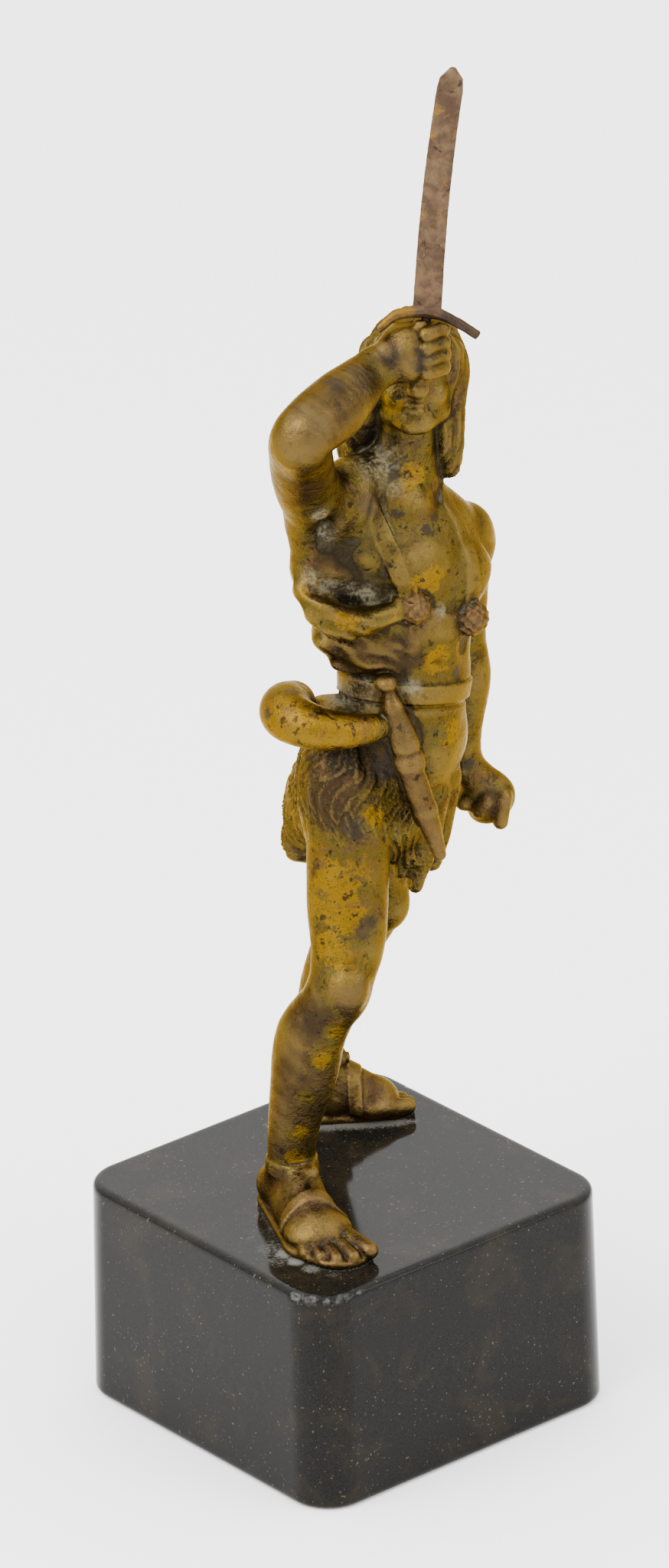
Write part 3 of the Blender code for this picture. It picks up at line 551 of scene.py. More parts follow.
def dagger_mass():
    shapes = [
        (Egg((71, -101, 756), (15, 15, 12), (1, 0, 0), (-0.2, 0, 1)), 3),
        (Stick((74, -102, 744, 8), (79, -104, 724, 13)), 4),
        (Stick((79, -104, 724, 13), (95, -108, 672, 18.5)), 4),
        (Stick((99, -108, 651, 20), (100, -108, 647, 20)), 1),
        (Stick((100, -108, 640, 17), (118, -106, 580, 15.5)), 2),
        (Stick((118, -106, 580, 16), (135, -100, 514, 9)), 3),
        (Stick((84, -80, 700, 18), (118, -84, 560, 16)), 6),
    ]
    return Mass("dagger", shapes, 4)


def boss_masses():
    out = []
    for centre, radius in (((109, -94, 856), 22), ((181, -34, 814), 24)):
        out.append(Mass("boss", [(Egg(centre, (radius,) * 3), 2)], 3, boss_relief(centre), 3))
    return out


def all_masses():
    return [body_mass(), *arm_masses(), *leg_masses(), fur_mass(), *cloth_masses(), *feet_masses(),
            head_mass(), hair_mass(), fist_mass(), horn_mass(), dagger_mass(), *boss_masses()]


MASSES = all_masses()
HOLLOWS = ((Egg((0, -126, 950), (14, 28, 40), (1, 0, 0), (0.1, 0.2, 1)), 16),
           (Egg((22, -108, 884), (58, 14, 11), (0.96, 0.05, -0.16)), 14))
GUARD_CLAY = Mass("guard", [(Stick(a, b), 3) for a, b in zip(GUARD_ROUTE, GUARD_ROUTE[1:])], 1)


def clay_distance(p):
    """How far each point is from the finished clay surface, negative inside."""
    d = np.full(len(p), 400.0)
    for mass in MASSES:
        d = soft_min(d, mass.distance(p), mass.soft)
    for hollow, soft in HOLLOWS:
        d = -soft_min(-d, hollow.distance(p), soft)
    clearance = 0.0003 / UNIT
    d = np.maximum(d, clearance - GUARD_CLAY.distance(p))
    return np.maximum(d, -p[:, 2])


# Finer carving than the solids carry

def fine_hair(p):
    return strand_relief(p, (118, 22, 1200), 41, 1.0, 2.2)


def fine_fur(p):
    x, y, z = p.T
    angle = np.arctan2(y - 20, x - 48) + 0.05 * np.sin(0.09 * z) + 0.03 * np.sin(0.23 * z + 9 * x / 60)
    hairs = np.sin(115 * angle + 2.2 * np.sin(0.055 * z)) + 0.7 * np.sin(190 * angle + 0.11 * z)
    return 0.45 * hairs * (0.6 + 0.4 * np.sin(0.12 * z + 7 * angle))


def fine_boss(p):
    x, y, z = p.T
    return 0.5 * np.sin(0.6 * x) * np.sin(0.6 * y + 1) * np.sin(0.6 * z + 2)


def fine_cloth(p):
    x, y, z = p.T
    return 0.8 * np.sin(0.31 * z + 0.12 * x + 2 * np.sin(0.07 * (x + y)))


def fine_skin(p):
    """Low swells left by the modelling tool and the casting."""
    x, y, z = p.T
    return 0.35 * np.sin(0.13 * x + 0.06 * z) * np.sin(0.11 * y - 0.05 * z) * np.sin(0.10 * z)


FINE_CARVING = {"hair": fine_hair, "fur": fine_fur, "boss": fine_boss, "rolled cloth": fine_cloth,
                "gathered cloth": fine_cloth}


def carve(mass, finer):
    coarse = mass.relief

    def both(p):
        return finer(p) + (coarse(p) if coarse else 0.0)

    mass.relief = both


for mass in MASSES:
    carve(mass, FINE_CARVING.get(mass.name, fine_skin))


# The fine figure

def points_of(mesh):
    co = np.empty(len(mesh.vertices) * 3, np.float32)
    mesh.vertices.foreach_get("co", co)
    return co.reshape(-1, 3)


def normals_of(mesh):
    normal = np.empty(len(mesh.vertices) * 3, np.float32)
    mesh.vertex_normals.foreach_get("vector", normal)
    return normal.reshape(-1, 3).astype(float)


def move_points(mesh, p):
    mesh.vertices.foreach_set("co", p.astype(np.float32).ravel())
    mesh.update()


def add_marks(mesh, marks):
    """Stores named values on the points, for the materials to follow."""
    for name, values in marks.items():
        layer = mesh.attributes.new(name, "FLOAT", "POINT")
        layer.data.foreach_set("value", values.astype(np.float32))


def rough_clay():
    bm = bmesh.new()
    for mass in MASSES:
        for shape, _ in mass.shapes:
            add_rough(bm, shape)
    bmesh.ops.recalc_face_normals(bm, faces=bm.faces)
    bmesh.ops.scale(bm, verts=bm.verts, vec=(UNIT, UNIT, UNIT))
    mesh = bpy.data.meshes.new("rough_clay")
    bm.to_mesh(mesh)
    bm.free()
    return mesh


def reworked(mesh, kind, **settings):
    """The mesh after one modifier."""
    obj = bpy.data.objects.new("workbench", mesh)
    bpy.context.scene.collection.objects.link(obj)
    step = obj.modifiers.new("step", kind)
    for key, value in settings.items():
        setattr(step, key, value)
    graph = bpy.context.evaluated_depsgraph_get()
    out = bpy.data.meshes.new_from_object(obj.evaluated_get(graph))
    bpy.data.objects.remove(obj)
    bpy.data.meshes.remove(mesh)
    return out


def press_to_clay(mesh, passes):
    """Moves each point along its normal until it lies on the clay's surface."""
    longest = 5.0
    for step in range(passes):
        p = points_of(mesh) / UNIT
        move = np.clip(clay_distance(p), -longest, longest) * (0.9 if step else 0.6)
        p = p - normals_of(mesh) * move[:, None]
        p[:, 2] = np.maximum(p[:, 2], 0.0)
        move_points(mesh, p * UNIT)


def largest_piece(mesh):
    """Drops every loose shell but the one with the most points."""
    bm = bmesh.new()
    bm.from_mesh(mesh)
    unseen = set(bm.verts)
    best = []
    while unseen:
        stack = [unseen.pop()]
        group = list(stack)
        while stack:
            v = stack.pop()
            for e in v.link_edges:
                w = e.other_vert(v)
                if w in unseen:
                    unseen.remove(w)
                    group.append(w)
                    stack.append(w)
        if len(group) > len(best):
            best = group
    keep = set(best)
    bmesh.ops.delete(bm, geom=[v for v in bm.verts if v not in keep], context="VERTS")
    bm.to_mesh(mesh)
    bm.free()


def figure_mesh():
    mesh = rough_clay()
    for grain in (COARSE_GRAIN, FINE_GRAIN):
        mesh = reworked(mesh, "REMESH", mode="VOXEL", voxel_size=grain)
        largest_piece(mesh)
        press_to_clay(mesh, 4)
    triangles = sum(len(f.vertices) - 2 for f in mesh.polygons)
    if triangles > FINE_TRIANGLES:
        mesh = reworked(mesh, "DECIMATE", ratio=FINE_TRIANGLES / triangles)
    return mesh


# Where the patina changes on the figure, by mark: x, y and z in clay units, and a radius

PLACES = {
    # Dark places are stains, except those on the hair and neck below the raised arm, which are painted
    # shadow.
    "dark": ((47, -167, 1203, 25), (-9, -240, 1173, 22), (17, -189, 1205, 19), (-29, -228, 1184, 16),
        (89, -128, 1215, 19), (90, -59, 971, 12), (137, -41, 957, 9), (162, 127, 858, 14),
        (130, -59, 946, 11), (57, -82, 998, 24), (-44, -203, 1086, 12), (49, -4, 1054, 22),
        (38, -127, 423, 22), (15, -87, 645, 25), (73, -82, 627, 22), (29, -109, 555, 19),
        (-81, -120, 725, 9), (-49, -100, 749, 12), (165, -44, 743, 12), (176, 137, 528, 12),
        (125, -119, 1205, 20), (120, -100, 1157, 14), (60, -100, 690, 14)),
    "brown": ((-61, -131, 215, 46), (-62, -125, 165, 40), (-74, -110, 120, 30), (-44, -138, 300, 30),
        (10, -210, 1195, 44), (-16, -245, 1165, 50), (-36, -246, 1125, 40), (-46, -178, 1062, 40),
        (45, -165, 1195, 30), (-5, -100, 590, 30), (-40, -150, 20, 40), (-80, -100, 40, 34),
        (48, -60, 800, 34), (90, -84, 790, 26), (20, -60, 770, 24), (60, -80, 750, 20),
        (20, -100, 640, 34), (60, -80, 640, 26), (-20, -20, 600, 30), (4, -97, 922, 18),
        (36, -73, 932, 18), (-38, -139, 304, 32), (-73, -125, 229, 22), (-78, -117, 148, 19),
        (17, -154, 330, 19), (32, -149, 348, 12), (-5, -118, 219, 14), (-66, -183, 1104, 22),
        (205, 136, 475, 16), (-19, -240, 15, 25), (30, -223, 27, 19), (-46, -164, 66, 16)),
    "gilt": ((0, -150, 726, 34), (-30, -145, 730, 34), (-62, -130, 722, 34), (32, -142, 712, 26),
        (86, -47, 1115, 20), (-3, -118, 466, 38), (18, -129, 437, 22), (-9, -131, 400, 22),
        (-5, -141, 288, 15), (-23, -137, 242, 16), (-44, -131, 185, 15), (-55, -122, 132, 15),
        (-60, -116, 92, 14), (52, -98, 568, 16), (111, -38, 1015, 19), (129, -86, 889, 22),
        (141, -67, 774, 19), (154, -49, 659, 22), (-12, -207, 1090, 16), (97, -56, 1087, 16),
        (25, -132, 856, 16), (-26, -109, 893, 12)),
    "dust": ((3, -90, 885, 14), (25, -88, 876, 16), (51, -84, 874, 16), (-20, -97, 897, 12),
        (41, -74, 734, 16), (11, -40, 712, 20), (49, -76, 719, 12), (70, -45, 1029, 28),
        (82, -42, 1004, 18), (0, -94, 967, 16), (-6, -135, 1004, 11), (21, -78, 870, 24),
        (-13, -110, 894, 14), (31, -68, 722, 22), (6, -44, 716, 14), (104, -86, 739, 12),
        (-22, -94, 906, 9), (143, -77, 841, 9)),
    "pale": ((86, -47, 1115, 24), (132, -59, 1106, 24), (113, -66, 1085, 16), (140, -50, 930, 40),
        (110, -82, 935, 34), (160, -40, 890, 30), (66, -78, 961, 24), (-40, -240, 1150, 26),
        (-58, -130, 742, 20), (150, -22, 600, 34), (160, -19, 640, 30), (84, -90, 925, 18)),
}

# How golden and how reddish each mass is, where it isn't left at the middle value or at none
GOLDEN = {"body": 0.42, "right leg": 0.62, "left leg": 0.35, "fur": 0.30, "rolled cloth": 0.85,
          "gathered cloth": 0.40, "right foot": 0.40, "left foot": 0.30, "head": 0.45, "hair": 0.32,
          "fist": 0.45, "horn": 0.95, "dagger": 0.35, "boss": 0.30, "right arm": 0.40, "left arm": 0.45,
          "left hand": 0.55}
REDDISH = {"boss": 0.9, "dagger": 0.6, "left hand": 0.25, "right foot": 0.35, "left foot": 0.4,
           "fist": 0.25, "hair": 0.15}


def near_places(p, places):
    """One at the middle of each named place, falling to nothing at 1.6 times its radius."""
    out = np.zeros(len(p))
    for x, y, z, radius in places:
        gap = np.sqrt(((p - (x, y, z)) ** 2).sum(1)) / radius
        out = np.maximum(out, smooth_step(1.0 - (gap - 0.4) / 1.2))
    return out


def neighbour_mean(values, edges, degree):
    out = np.empty_like(values)
    for axis in range(values.shape[1]):
        column = values[:, axis]
        total = np.bincount(edges[:, 0], column[edges[:, 1]], len(values))
        total += np.bincount(edges[:, 1], column[edges[:, 0]], len(values))
        out[:, axis] = total / degree
    return out


def mark_relief(mesh):
    """Stores where the surface is hollow, raised, stained or painted in shadow, dusty, golden or reddish."""
    count = len(mesh.vertices)
    p = points_of(mesh).astype(float) / UNIT
    n = normals_of(mesh)
    edges = np.empty(len(mesh.edges) * 2, np.int32)
    mesh.edges.foreach_get("vertices", edges)
    edges = edges.reshape(-1, 2)
    degree = np.maximum(np.bincount(edges.ravel(), minlength=count), 1)
    few, many = 6, 60
    soft = p.copy()
    lift = {}
    for step in range(1, many + 1):
        soft = neighbour_mean(soft, edges, degree)
        if step in (few, many):
            lift[step] = ((soft - p) * n).sum(1)
    fine = lift[few]
    broad = lift[many]
    hollow = smooth_step((fine - 0.15) / 0.9) * 0.5 + smooth_step((broad - 0.8) / 4.0)
    ridge = smooth_step((-fine - 0.30) / 0.9) * 0.8 + smooth_step((-broad - 7.0) / 9.0) * 0.3
    gold = np.full(count, 0.45)
    red = np.zeros(count)
    nearest = np.full(count, 1e6)
    for mass in MASSES:
        d = mass.distance(p)
        closer = d < nearest
        nearest[closer] = d[closer]
        gold[closer] = GOLDEN.get(mass.name, 0.5)
        red[closer] = REDDISH.get(mass.name, 0.0)
    for _ in range(8):
        both = neighbour_mean(np.stack([gold, red], 1), edges, degree)
        gold, red = both[:, 0], both[:, 1]
    add_marks(mesh, {"hollow": np.clip(hollow, 0, 1), "ridge": np.clip(ridge, 0, 1)})
    add_marks(mesh, {"gold": gold, "red": red})
    add_marks(mesh, {name: near_places(p, places) for name, places in PLACES.items()})


# Colours of the figure, the sword and the stone

BROWN = (0.026, 0.0165, 0.0065)
OCHRE = (0.054, 0.036, 0.0062)
GILT = (0.112, 0.061, 0.0034)
OLIVE = (0.052, 0.040, 0.0100)
RED_BROWN = (0.052, 0.026, 0.0155)
# grey of stains, and of the painted shadow at some dark places
GREY_STAIN_AND_SHADOW = (0.0145, 0.0120, 0.0095)
PIT = (0.0090, 0.0070, 0.0055)
# rubbed wear and painted highlight for the ridges
RUBBED_AND_HIGHLIGHT = (0.165, 0.104, 0.028)
# painted shade for the hollows
HOLLOW_SHADE = (0.012, 0.009, 0.0050)
DUST = (0.125, 0.112, 0.074)
PALE = (0.062, 0.043, 0.0115)
DEEP_BROWN = (0.0210, 0.0130, 0.0070)
EDGE_TINT = (0.74, 0.57, 0.32, 1)
BLADE_DARK = (0.048, 0.029, 0.0185)
BLADE_LIGHT = (0.105, 0.066, 0.036)
BLADE_GOLD = (0.150, 0.080, 0.014)
BLADE_STAIN = (0.018, 0.011, 0.0095)
GUARD_GILT = (0.120, 0.062, 0.006)
GUARD_DARK = (0.018, 0.013, 0.011)
GRAIN_DARK = (0.0020, 0.0021, 0.0018)
GRAIN_LIGHT = (0.0066, 0.0060, 0.0046)
CLOUD_BROWN = (0.0110, 0.0078, 0.0048)
FLECK_TAN = (0.060, 0.050, 0.030)
CLUMP_TAN = (0.045, 0.040, 0.024)
SCRATCH_GREY = (0.050, 0.050, 0.045)
GLUE_GREY = (0.100, 0.096, 0.082)
CHIP_GREY = (0.062, 0.064, 0.062)
FLOOR_WHITE = (0.86, 0.86, 0.86, 1)


class Graph:
    """A small helper that adds and joins shader nodes."""

    def __init__(self, name):
        self.material = bpy.data.materials.new(name)
        self.material.use_nodes = True
        self.tree = self.material.node_tree
        self.shader = self.tree.nodes["Principled BSDF"]
        coords = self.add("ShaderNodeTexCoord")
        self.place = coords.outputs["Object"]

    def add(self, kind, **settings):
        node = self.tree.nodes.new(kind)
        for key, value in settings.items():
            setattr(node, key, value)
        return node

    def feed(self, node, socket, value):
        if isinstance(value, bpy.types.NodeSocket):
            self.tree.links.new(value, node.inputs[socket])
        else:
            node.inputs[socket].default_value = value

    def noise(self, scale, detail=4.0, rough=0.55, warp=0.0):
        node = self.add("ShaderNodeTexNoise")
        self.feed(node, "Vector", self.place)
        self.feed(node, "Scale", scale)
        self.feed(node, "Detail", detail)
        self.feed(node, "Roughness", rough)
        self.feed(node, "Distortion", warp)
        return node.outputs["Fac"]

    def mark(self, name):
        return self.add("ShaderNodeAttribute", attribute_name=name).outputs["Fac"]

    def sums(self, operation, *values):
        node = self.add("ShaderNodeMath", operation=operation)
        for index, value in enumerate(values):
            self.feed(node, index, value)
        return node.outputs[0]

    def times(self, a, b):
        return self.sums("MULTIPLY", a, b)

    def weigh(self, *terms, base=0.0):
        """A base number plus some values, each times its own weight."""
        total = base
        for value, weight in terms:
            total = self.sums("MULTIPLY_ADD", value, weight, total)
        return total

    def ramp(self, value, low, high):
        node = self.add("ShaderNodeMapRange", interpolation_type="SMOOTHSTEP")
        self.feed(node, 0, value)
        self.feed(node, 1, low)
        self.feed(node, 2, high)
        return node.outputs[0]

    def mix(self, amount, a, b):
        node = self.add("ShaderNodeMix", data_type="RGBA")
        self.feed(node, 0, amount)
        for index, value in ((6, a), (7, b)):
            if isinstance(value, tuple):
                value = (*value, 1.0)
            self.feed(node, index, value)
        return node.outputs[2]

    def coat(self, colour, paint, amount, strength):
        """Lays a paint over a colour where the amount is high."""
        return self.mix(self.times(amount, strength), colour, paint)

    def bump(self, height, strength, distance):
        node = self.add("ShaderNodeBump")
        self.feed(node, "Strength", strength)
        self.feed(node, "Distance", distance)
        self.feed(node, "Height", height)
        return node

    def surface(self, **values):
        """Feeds the shader's sockets, by the plain names below."""
        for name, value in values.items():
            self.feed(self.shader, SOCKETS[name], value)
        return self.material


SOCKETS = {"colour": "Base Color", "metal": "Metallic", "rough": "Roughness", "grain": "Normal",
           "edge_tint": "Specular Tint", "shine": "Specular IOR Level"}


def bronze_material():
    """Olive-brown bronze under worn gilding, with grey stains, dark pits and dust in the hollows; painted
    shade darkens the hollows, painted shadow greys a few dark places, and a painted highlight lies over the
    rubbed wear on the ridges.
    """
    g = Graph("bronze_patina")
    broad = g.ramp(g.noise(60, 4, 0.6, 0.4), 0.36, 0.64)
    middle = g.ramp(g.noise(240, 6, 0.68, 0.3), 0.38, 0.62)
    fine = g.ramp(g.noise(1300, 4, 0.65), 0.28, 0.72)
    speckle = g.ramp(g.noise(3600, 2, 0.5), 0.25, 0.75)
    hollow = g.mark("hollow")
    gilt = g.mark("gilt")
    brown = g.mark("brown")
    pale = g.mark("pale")
    clear = g.weigh((pale, -0.8), base=1.0)
    tone = g.weigh((broad, 0.30), (middle, 0.45), (fine, 0.22), (g.mark("gold"), 0.35), (gilt, 0.55),
                   (brown, -0.40))
    olive = g.ramp(g.noise(95, 5, 0.65, 0.5), 0.48, 0.58)
    tarnish = g.ramp(g.weigh((middle, 0.5), (broad, 0.3), (brown, 0.9)), 0.55, 0.95)
    tarnish = g.times(tarnish, g.ramp(gilt, 0.9, 0.2))
    blush = g.ramp(g.weigh((fine, 0.05), (g.noise(130, 6, 0.7, 0.8), 1.0)), 0.58, 0.66)
    worn = g.times(pale, g.ramp(middle, -0.3, 0.7))
    worn = g.times(worn, g.weigh((gilt, -1.0), base=1.0))
    # Grey stains follow the dark places, so they carry the painted shadow there as well.
    stain = g.ramp(g.weigh((middle, 0.35), (fine, 0.20), (g.mark("dark"), 0.62)), 0.62, 0.82)
    scab = g.ramp(g.weigh((fine, 0.06), (g.noise(170, 7, 0.75, 0.6), 1.0)), 0.62, 0.66)
    pits = g.ramp(g.weigh((speckle, 0.06), (g.noise(560, 3, 0.6), 1.0), (gilt, 0.035)), 0.655, 0.685)
    specks = g.ramp(g.noise(2300, 2, 0.5), 0.61, 0.69)
    # Painted shade: the hollows are darkened, less where the surface is kept pale.
    dark = g.times(g.ramp(hollow, 0.15, 0.65), g.times(clear, 0.85))

    geometry = g.add("ShaderNodeNewGeometry")
    split = g.add("ShaderNodeSeparateXYZ")
    g.feed(split, 0, geometry.outputs["Normal"])
    upward = g.ramp(split.outputs[2], 0.1, 0.8)
    settled = g.times(g.ramp(hollow, 0.55, 1.0), g.weigh((upward, 0.5), base=0.15))
    settled = g.sums("MAXIMUM", settled, g.mark("dust"))
    broken = g.ramp(g.weigh((fine, 0.6), (middle, 0.4)), 0.30, 0.85)
    dust = g.times(settled, g.weigh((broken, 0.68), base=0.10))

    colour = g.mix(g.ramp(tone, 0.36, 0.62), BROWN, OCHRE)
    colour = g.coat(colour, OLIVE, olive, 0.45)
    colour = g.mix(g.ramp(tone, 0.84, 1.04), colour, GILT)
    colour = g.coat(colour, DEEP_BROWN, tarnish, 0.80)
    colour = g.coat(colour, RED_BROWN, g.mark("red"), 0.75)
    colour = g.coat(colour, RED_BROWN, blush, 0.50)
    colour = g.coat(colour, PALE, worn, 0.45)
    # Grey stains, with painted shadow at the shaded dark places.
    colour = g.coat(colour, GREY_STAIN_AND_SHADOW, stain, 0.85)
    colour = g.coat(colour, GREY_STAIN_AND_SHADOW, g.times(scab, clear), 0.75)
    colour = g.coat(colour, PIT, pits, 0.85)
    colour = g.coat(colour, PIT, specks, 0.65)
    # Rubbed wear on the ridges, which also serves as a painted highlight.
    colour = g.coat(colour, RUBBED_AND_HIGHLIGHT, g.mark("ridge"), g.weigh((gilt, -0.28), base=0.34))
    # Painted shade in the hollows.
    colour = g.mix(dark, colour, HOLLOW_SHADE)
    colour = g.mix(dust, colour, DUST)
    fine_grain = g.bump(fine, 0.40, 0.00012)
    grain = g.bump(middle, 0.35, 0.00030)
    g.feed(grain, "Normal", fine_grain.outputs[0])
    return g.surface(colour=colour, metal=g.weigh((dust, -0.90), (stain, -0.15), base=0.95),
                     rough=g.weigh((middle, 0.15), (dust, 0.4), (dark, 0.25), base=0.24),
                     edge_tint=EDGE_TINT, shine=0.25, grain=grain.outputs[0])


def sword_material():
    """Reddish cast bronze, worn to gold here and there, with a gilt and a dark end to the guard."""
    g = Graph("sword_patina")
    broad = g.noise(120, 5, 0.6, 0.4)
    middle = g.noise(420, 6, 0.65, 0.4)
    fine = g.noise(1900, 4, 0.6)
    light = g.ramp(g.weigh((middle, 0.8), (broad, 1.0)), 0.78, 1.12)
    worn = g.ramp(g.weigh((fine, 0.2), (g.noise(230, 6, 0.7), 1.0)), 0.66, 0.78)
    stain = g.ramp(g.weigh((fine, 0.15), (g.noise(330, 6, 0.7, 0.5), 1.0)), 0.66, 0.72)
    colour = g.mix(light, BLADE_DARK, BLADE_LIGHT)
    colour = g.mix(worn, colour, BLADE_GOLD)
    colour = g.coat(colour, BLADE_STAIN, stain, 0.8)
    colour = g.coat(colour, GUARD_GILT, g.mark("gilt"), g.ramp(middle, 0.35, 0.6))
    colour = g.coat(colour, GUARD_DARK, g.mark("dark"), 0.75)
    return g.surface(colour=colour, metal=0.9, edge_tint=EDGE_TINT, rough=g.weigh((middle, 0.25), base=0.36),
                     grain=g.bump(fine, 0.4, 0.00012).outputs[0])


def granite_material():
    """Near-black granite: fine grains, brownish clouds, sparse tan flecks, a few hair scratches."""
    g = Graph("granite_polish")
    cloud = g.noise(75, 6, 0.65, 0.5)
    flecks = g.ramp(g.weigh((cloud, 0.10), (g.noise(1500, 2, 0.5), 1.0)), 0.735, 0.765)
    clumps = g.ramp(g.noise(330, 8, 0.8, 0.4), 0.69, 0.73)
    wander = g.noise(210, 1, 0.5, 3.5)
    scratch = g.sums("SUBTRACT", g.ramp(wander, 0.497, 0.500), g.ramp(wander, 0.500, 0.503))
    scratch = g.times(scratch, g.ramp(g.noise(90, 3, 0.6), 0.66, 0.72))
    glue = g.mark("glue")
    film = g.times(glue, g.ramp(g.weigh((glue, 0.55), (g.noise(1700, 5, 0.75), 1.0)), 0.66, 0.95))
    chip = g.mark("chip")
    colour = g.mix(g.ramp(g.noise(2600, 3, 0.6), 0.35, 0.65), GRAIN_DARK, GRAIN_LIGHT)
    colour = g.coat(colour, CLOUD_BROWN, g.ramp(cloud, 0.48, 0.66), 0.75)
    colour = g.coat(colour, FLECK_TAN, flecks, 0.8)
    colour = g.coat(colour, CLUMP_TAN, clumps, 0.6)
    colour = g.coat(colour, SCRATCH_GREY, scratch, 0.7)
    colour = g.coat(colour, GLUE_GREY, film, 0.85)
    colour = g.coat(colour, CHIP_GREY, chip, g.ramp(g.noise(900, 5, 0.7), 0.35, 0.60))
    rough = g.weigh((g.noise(35, 3, 0.5), 0.07), (film, 0.6), (chip, 0.3), base=0.06)
    return g.surface(colour=colour, shine=0.085, rough=rough,
                     grain=g.bump(g.noise(1500, 4, 0.7), 0.02, 0.0001).outputs[0])


# The pieces

def add_object(name, mesh, material):
    mesh.materials.clear()
    mesh.materials.append(material)
    obj = bpy.data.objects.new(name, mesh)
    bpy.context.scene.collection.objects.link(obj)
    return obj


def solid_copy(node):
    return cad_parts[node].data.copy()


def in_clay(p):
    """Side and depth of points in the figure's own frame, in clay units."""
    c, s = math.cos(-VIEW_TURN), math.sin(-VIEW_TURN)
    return (c * p[:, 0] - s * p[:, 1]) / UNIT, (s * p[:, 0] + c * p[:, 1]) / UNIT


def figure_piece():
    mesh = figure_mesh()
    mark_relief(mesh)
    mesh.shade_smooth()
    turn = Matrix.Translation((0, 0, BLOCK_HEIGHT + SEAT_GAP)) @ Matrix.Rotation(VIEW_TURN, 4, "Z")
    mesh.transform(turn)
    obj = add_object("figure_fine", mesh, bronze_material())
    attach(obj, "root")
    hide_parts("bronze_figure")


def sole_distance(x, y):
    """Distance in clay units from the nearest sandal's outline, in the figure's own frame."""
    p = np.stack([x, y, np.full_like(x, 4.0)], 1)
    near = np.full(len(p), 1e6)
    for sole in (RIGHT_SOLE, LEFT_SOLE):
        for a, b in zip(sole, sole[1:]):
            near = np.minimum(near, Slab(a, b, -4, 12).distance(p))
    return near


def block_distance(p):
    """The tapered block with round upright corners and a narrow rounded rim."""
    half = BLOCK_WIDTH / 2 - BLOCK_TAPER * p[:, 2] / BLOCK_HEIGHT
    q = np.abs(p[:, :2]) - (half - BLOCK_CORNER_RADIUS)[:, None]
    side = np.sqrt((np.maximum(q, 0) ** 2).sum(1)) + np.minimum(q.max(1), 0) - BLOCK_CORNER_RADIUS
    level = np.abs(p[:, 2] - BLOCK_HEIGHT / 2) - BLOCK_HEIGHT / 2
    side = side + BLOCK_EDGE_RADIUS
    level = level + BLOCK_EDGE_RADIUS
    outside = np.sqrt(np.maximum(side, 0) ** 2 + np.maximum(level, 0) ** 2)
    return outside + np.minimum(np.maximum(side, level), 0) - BLOCK_EDGE_RADIUS


# Chips knocked off the block's rim: middle in millimetres, radius, and the direction that each flake faces
CHIPS = ((-40.6, -33.0, 47.6, 2.6, (-0.9, -0.1, 0.6)), (-39.4, -36.6, 47.4, 3.0, (-0.8, -0.5, 0.5)),
         (-37.0, -39.3, 47.5, 3.2, (-0.5, -0.8, 0.5)), (-33.4, -40.8, 47.7, 2.8, (-0.2, -0.9, 0.6)),
         (-29.6, -41.0, 48.0, 2.2, (0.1, -0.9, 0.6)), (39.2, -37.6, 48.6, 1.9, (0.7, -0.5, 0.6)),
         (38.9, 24.8, 49.9, 1.3, (0.8, 0.3, 0.6)), (39.8, -6.0, 49.6, 1.2, (0.8, 0.0, 0.8)),
         (12.0, -40.9, 49.2, 1.2, (0.0, -0.8, 0.8)), (3.0, -41.0, -0.2, 2.0, (0.0, -0.8, -0.6)),
         (7.0, -41.0, -0.2, 1.5, (0.2, -0.8, -0.6)), (-41.0, 30.0, -0.3, 2.0, (-0.8, 0.0, -0.6)))
CHIP_DEEPEST = 0.0016
CHIP_EDGE = 0.0003


def chip_depth(p):
    """How far inside a chip each point is, in metres."""
    out = np.full(len(p), -1.0)
    wave = 0.00025 * np.sin(2600 * p[:, 0] + 1800 * p[:, 1]) * np.sin(2200 * p[:, 1] + 1500 * p[:, 2])
    for x, y, z, radius, facing in CHIPS:
        middle = np.array((x, y, z)) / 1000
        q = (p - middle) @ unit(facing)
        ball = radius / 1000 - np.sqrt(((p - middle) ** 2).sum(1))
        out = np.maximum(out, np.minimum(ball, q + radius * 0.00045) + wave)
    return out


# Dried glue and dust on the stone: place in clay units, radius, and how thick it lies
GLUE_PLACES = ((-76, -200, 17, 1.0), (-62, -222, 16, 1.0), (-90, -184, 34, 0.55), (-42, -244, 18, 0.7),
               (-106, -150, 44, 0.35), (-84, -216, 30, 0.5), (-15, -262, 16, 0.4))


def glue_film(p):
    """How thickly glue and dust lie on the block's top: in spots and round the soles."""
    x, y = in_clay(p)
    near = sole_distance(x, y)
    crust = np.zeros(len(p))
    for gx, gy, radius, weight in GLUE_PLACES:
        crust = np.maximum(crust, weight * smooth_step(1.3 - np.hypot(x - gx, y - gy) / radius))
    strip = 0.8 * smooth_step((34 - near) / 30) * smooth_step((182 - y) / 10) * smooth_step((y - 100) / 10)
    line = 0.5 * smooth_step((6 - near) / 5)
    top = p[:, 2] > BLOCK_HEIGHT - 0.0006
    return np.where(top, np.maximum(np.maximum(crust, line), strip), 0.0)


def stone_piece():
    """The polished block, with glue round the soles and small chips knocked off its rim."""
    grain = 0.0006
    mesh = reworked(solid_copy("stone_block"), "REMESH", mode="VOXEL", voxel_size=grain)
    p = points_of(mesh).astype(float)
    probe = 0.00005
    for _ in range(4):
        d = block_distance(p)
        slope = np.stack([block_distance(p + move) - d for move in np.eye(3) * probe], 1)
        slope /= np.linalg.norm(slope, axis=1)[:, None] + 1e-12
        p = p - slope * d[:, None]
    deep = chip_depth(p)
    p = p - slope * np.clip(deep, 0, CHIP_DEEPEST)[:, None]
    move_points(mesh, p)
    mesh.shade_smooth()
    add_marks(mesh, {"glue": glue_film(p), "chip": smooth_step(deep / CHIP_EDGE)})
    obj = add_object("stone_fine", mesh, granite_material())
    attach(obj, "root")
    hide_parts("stone_block")


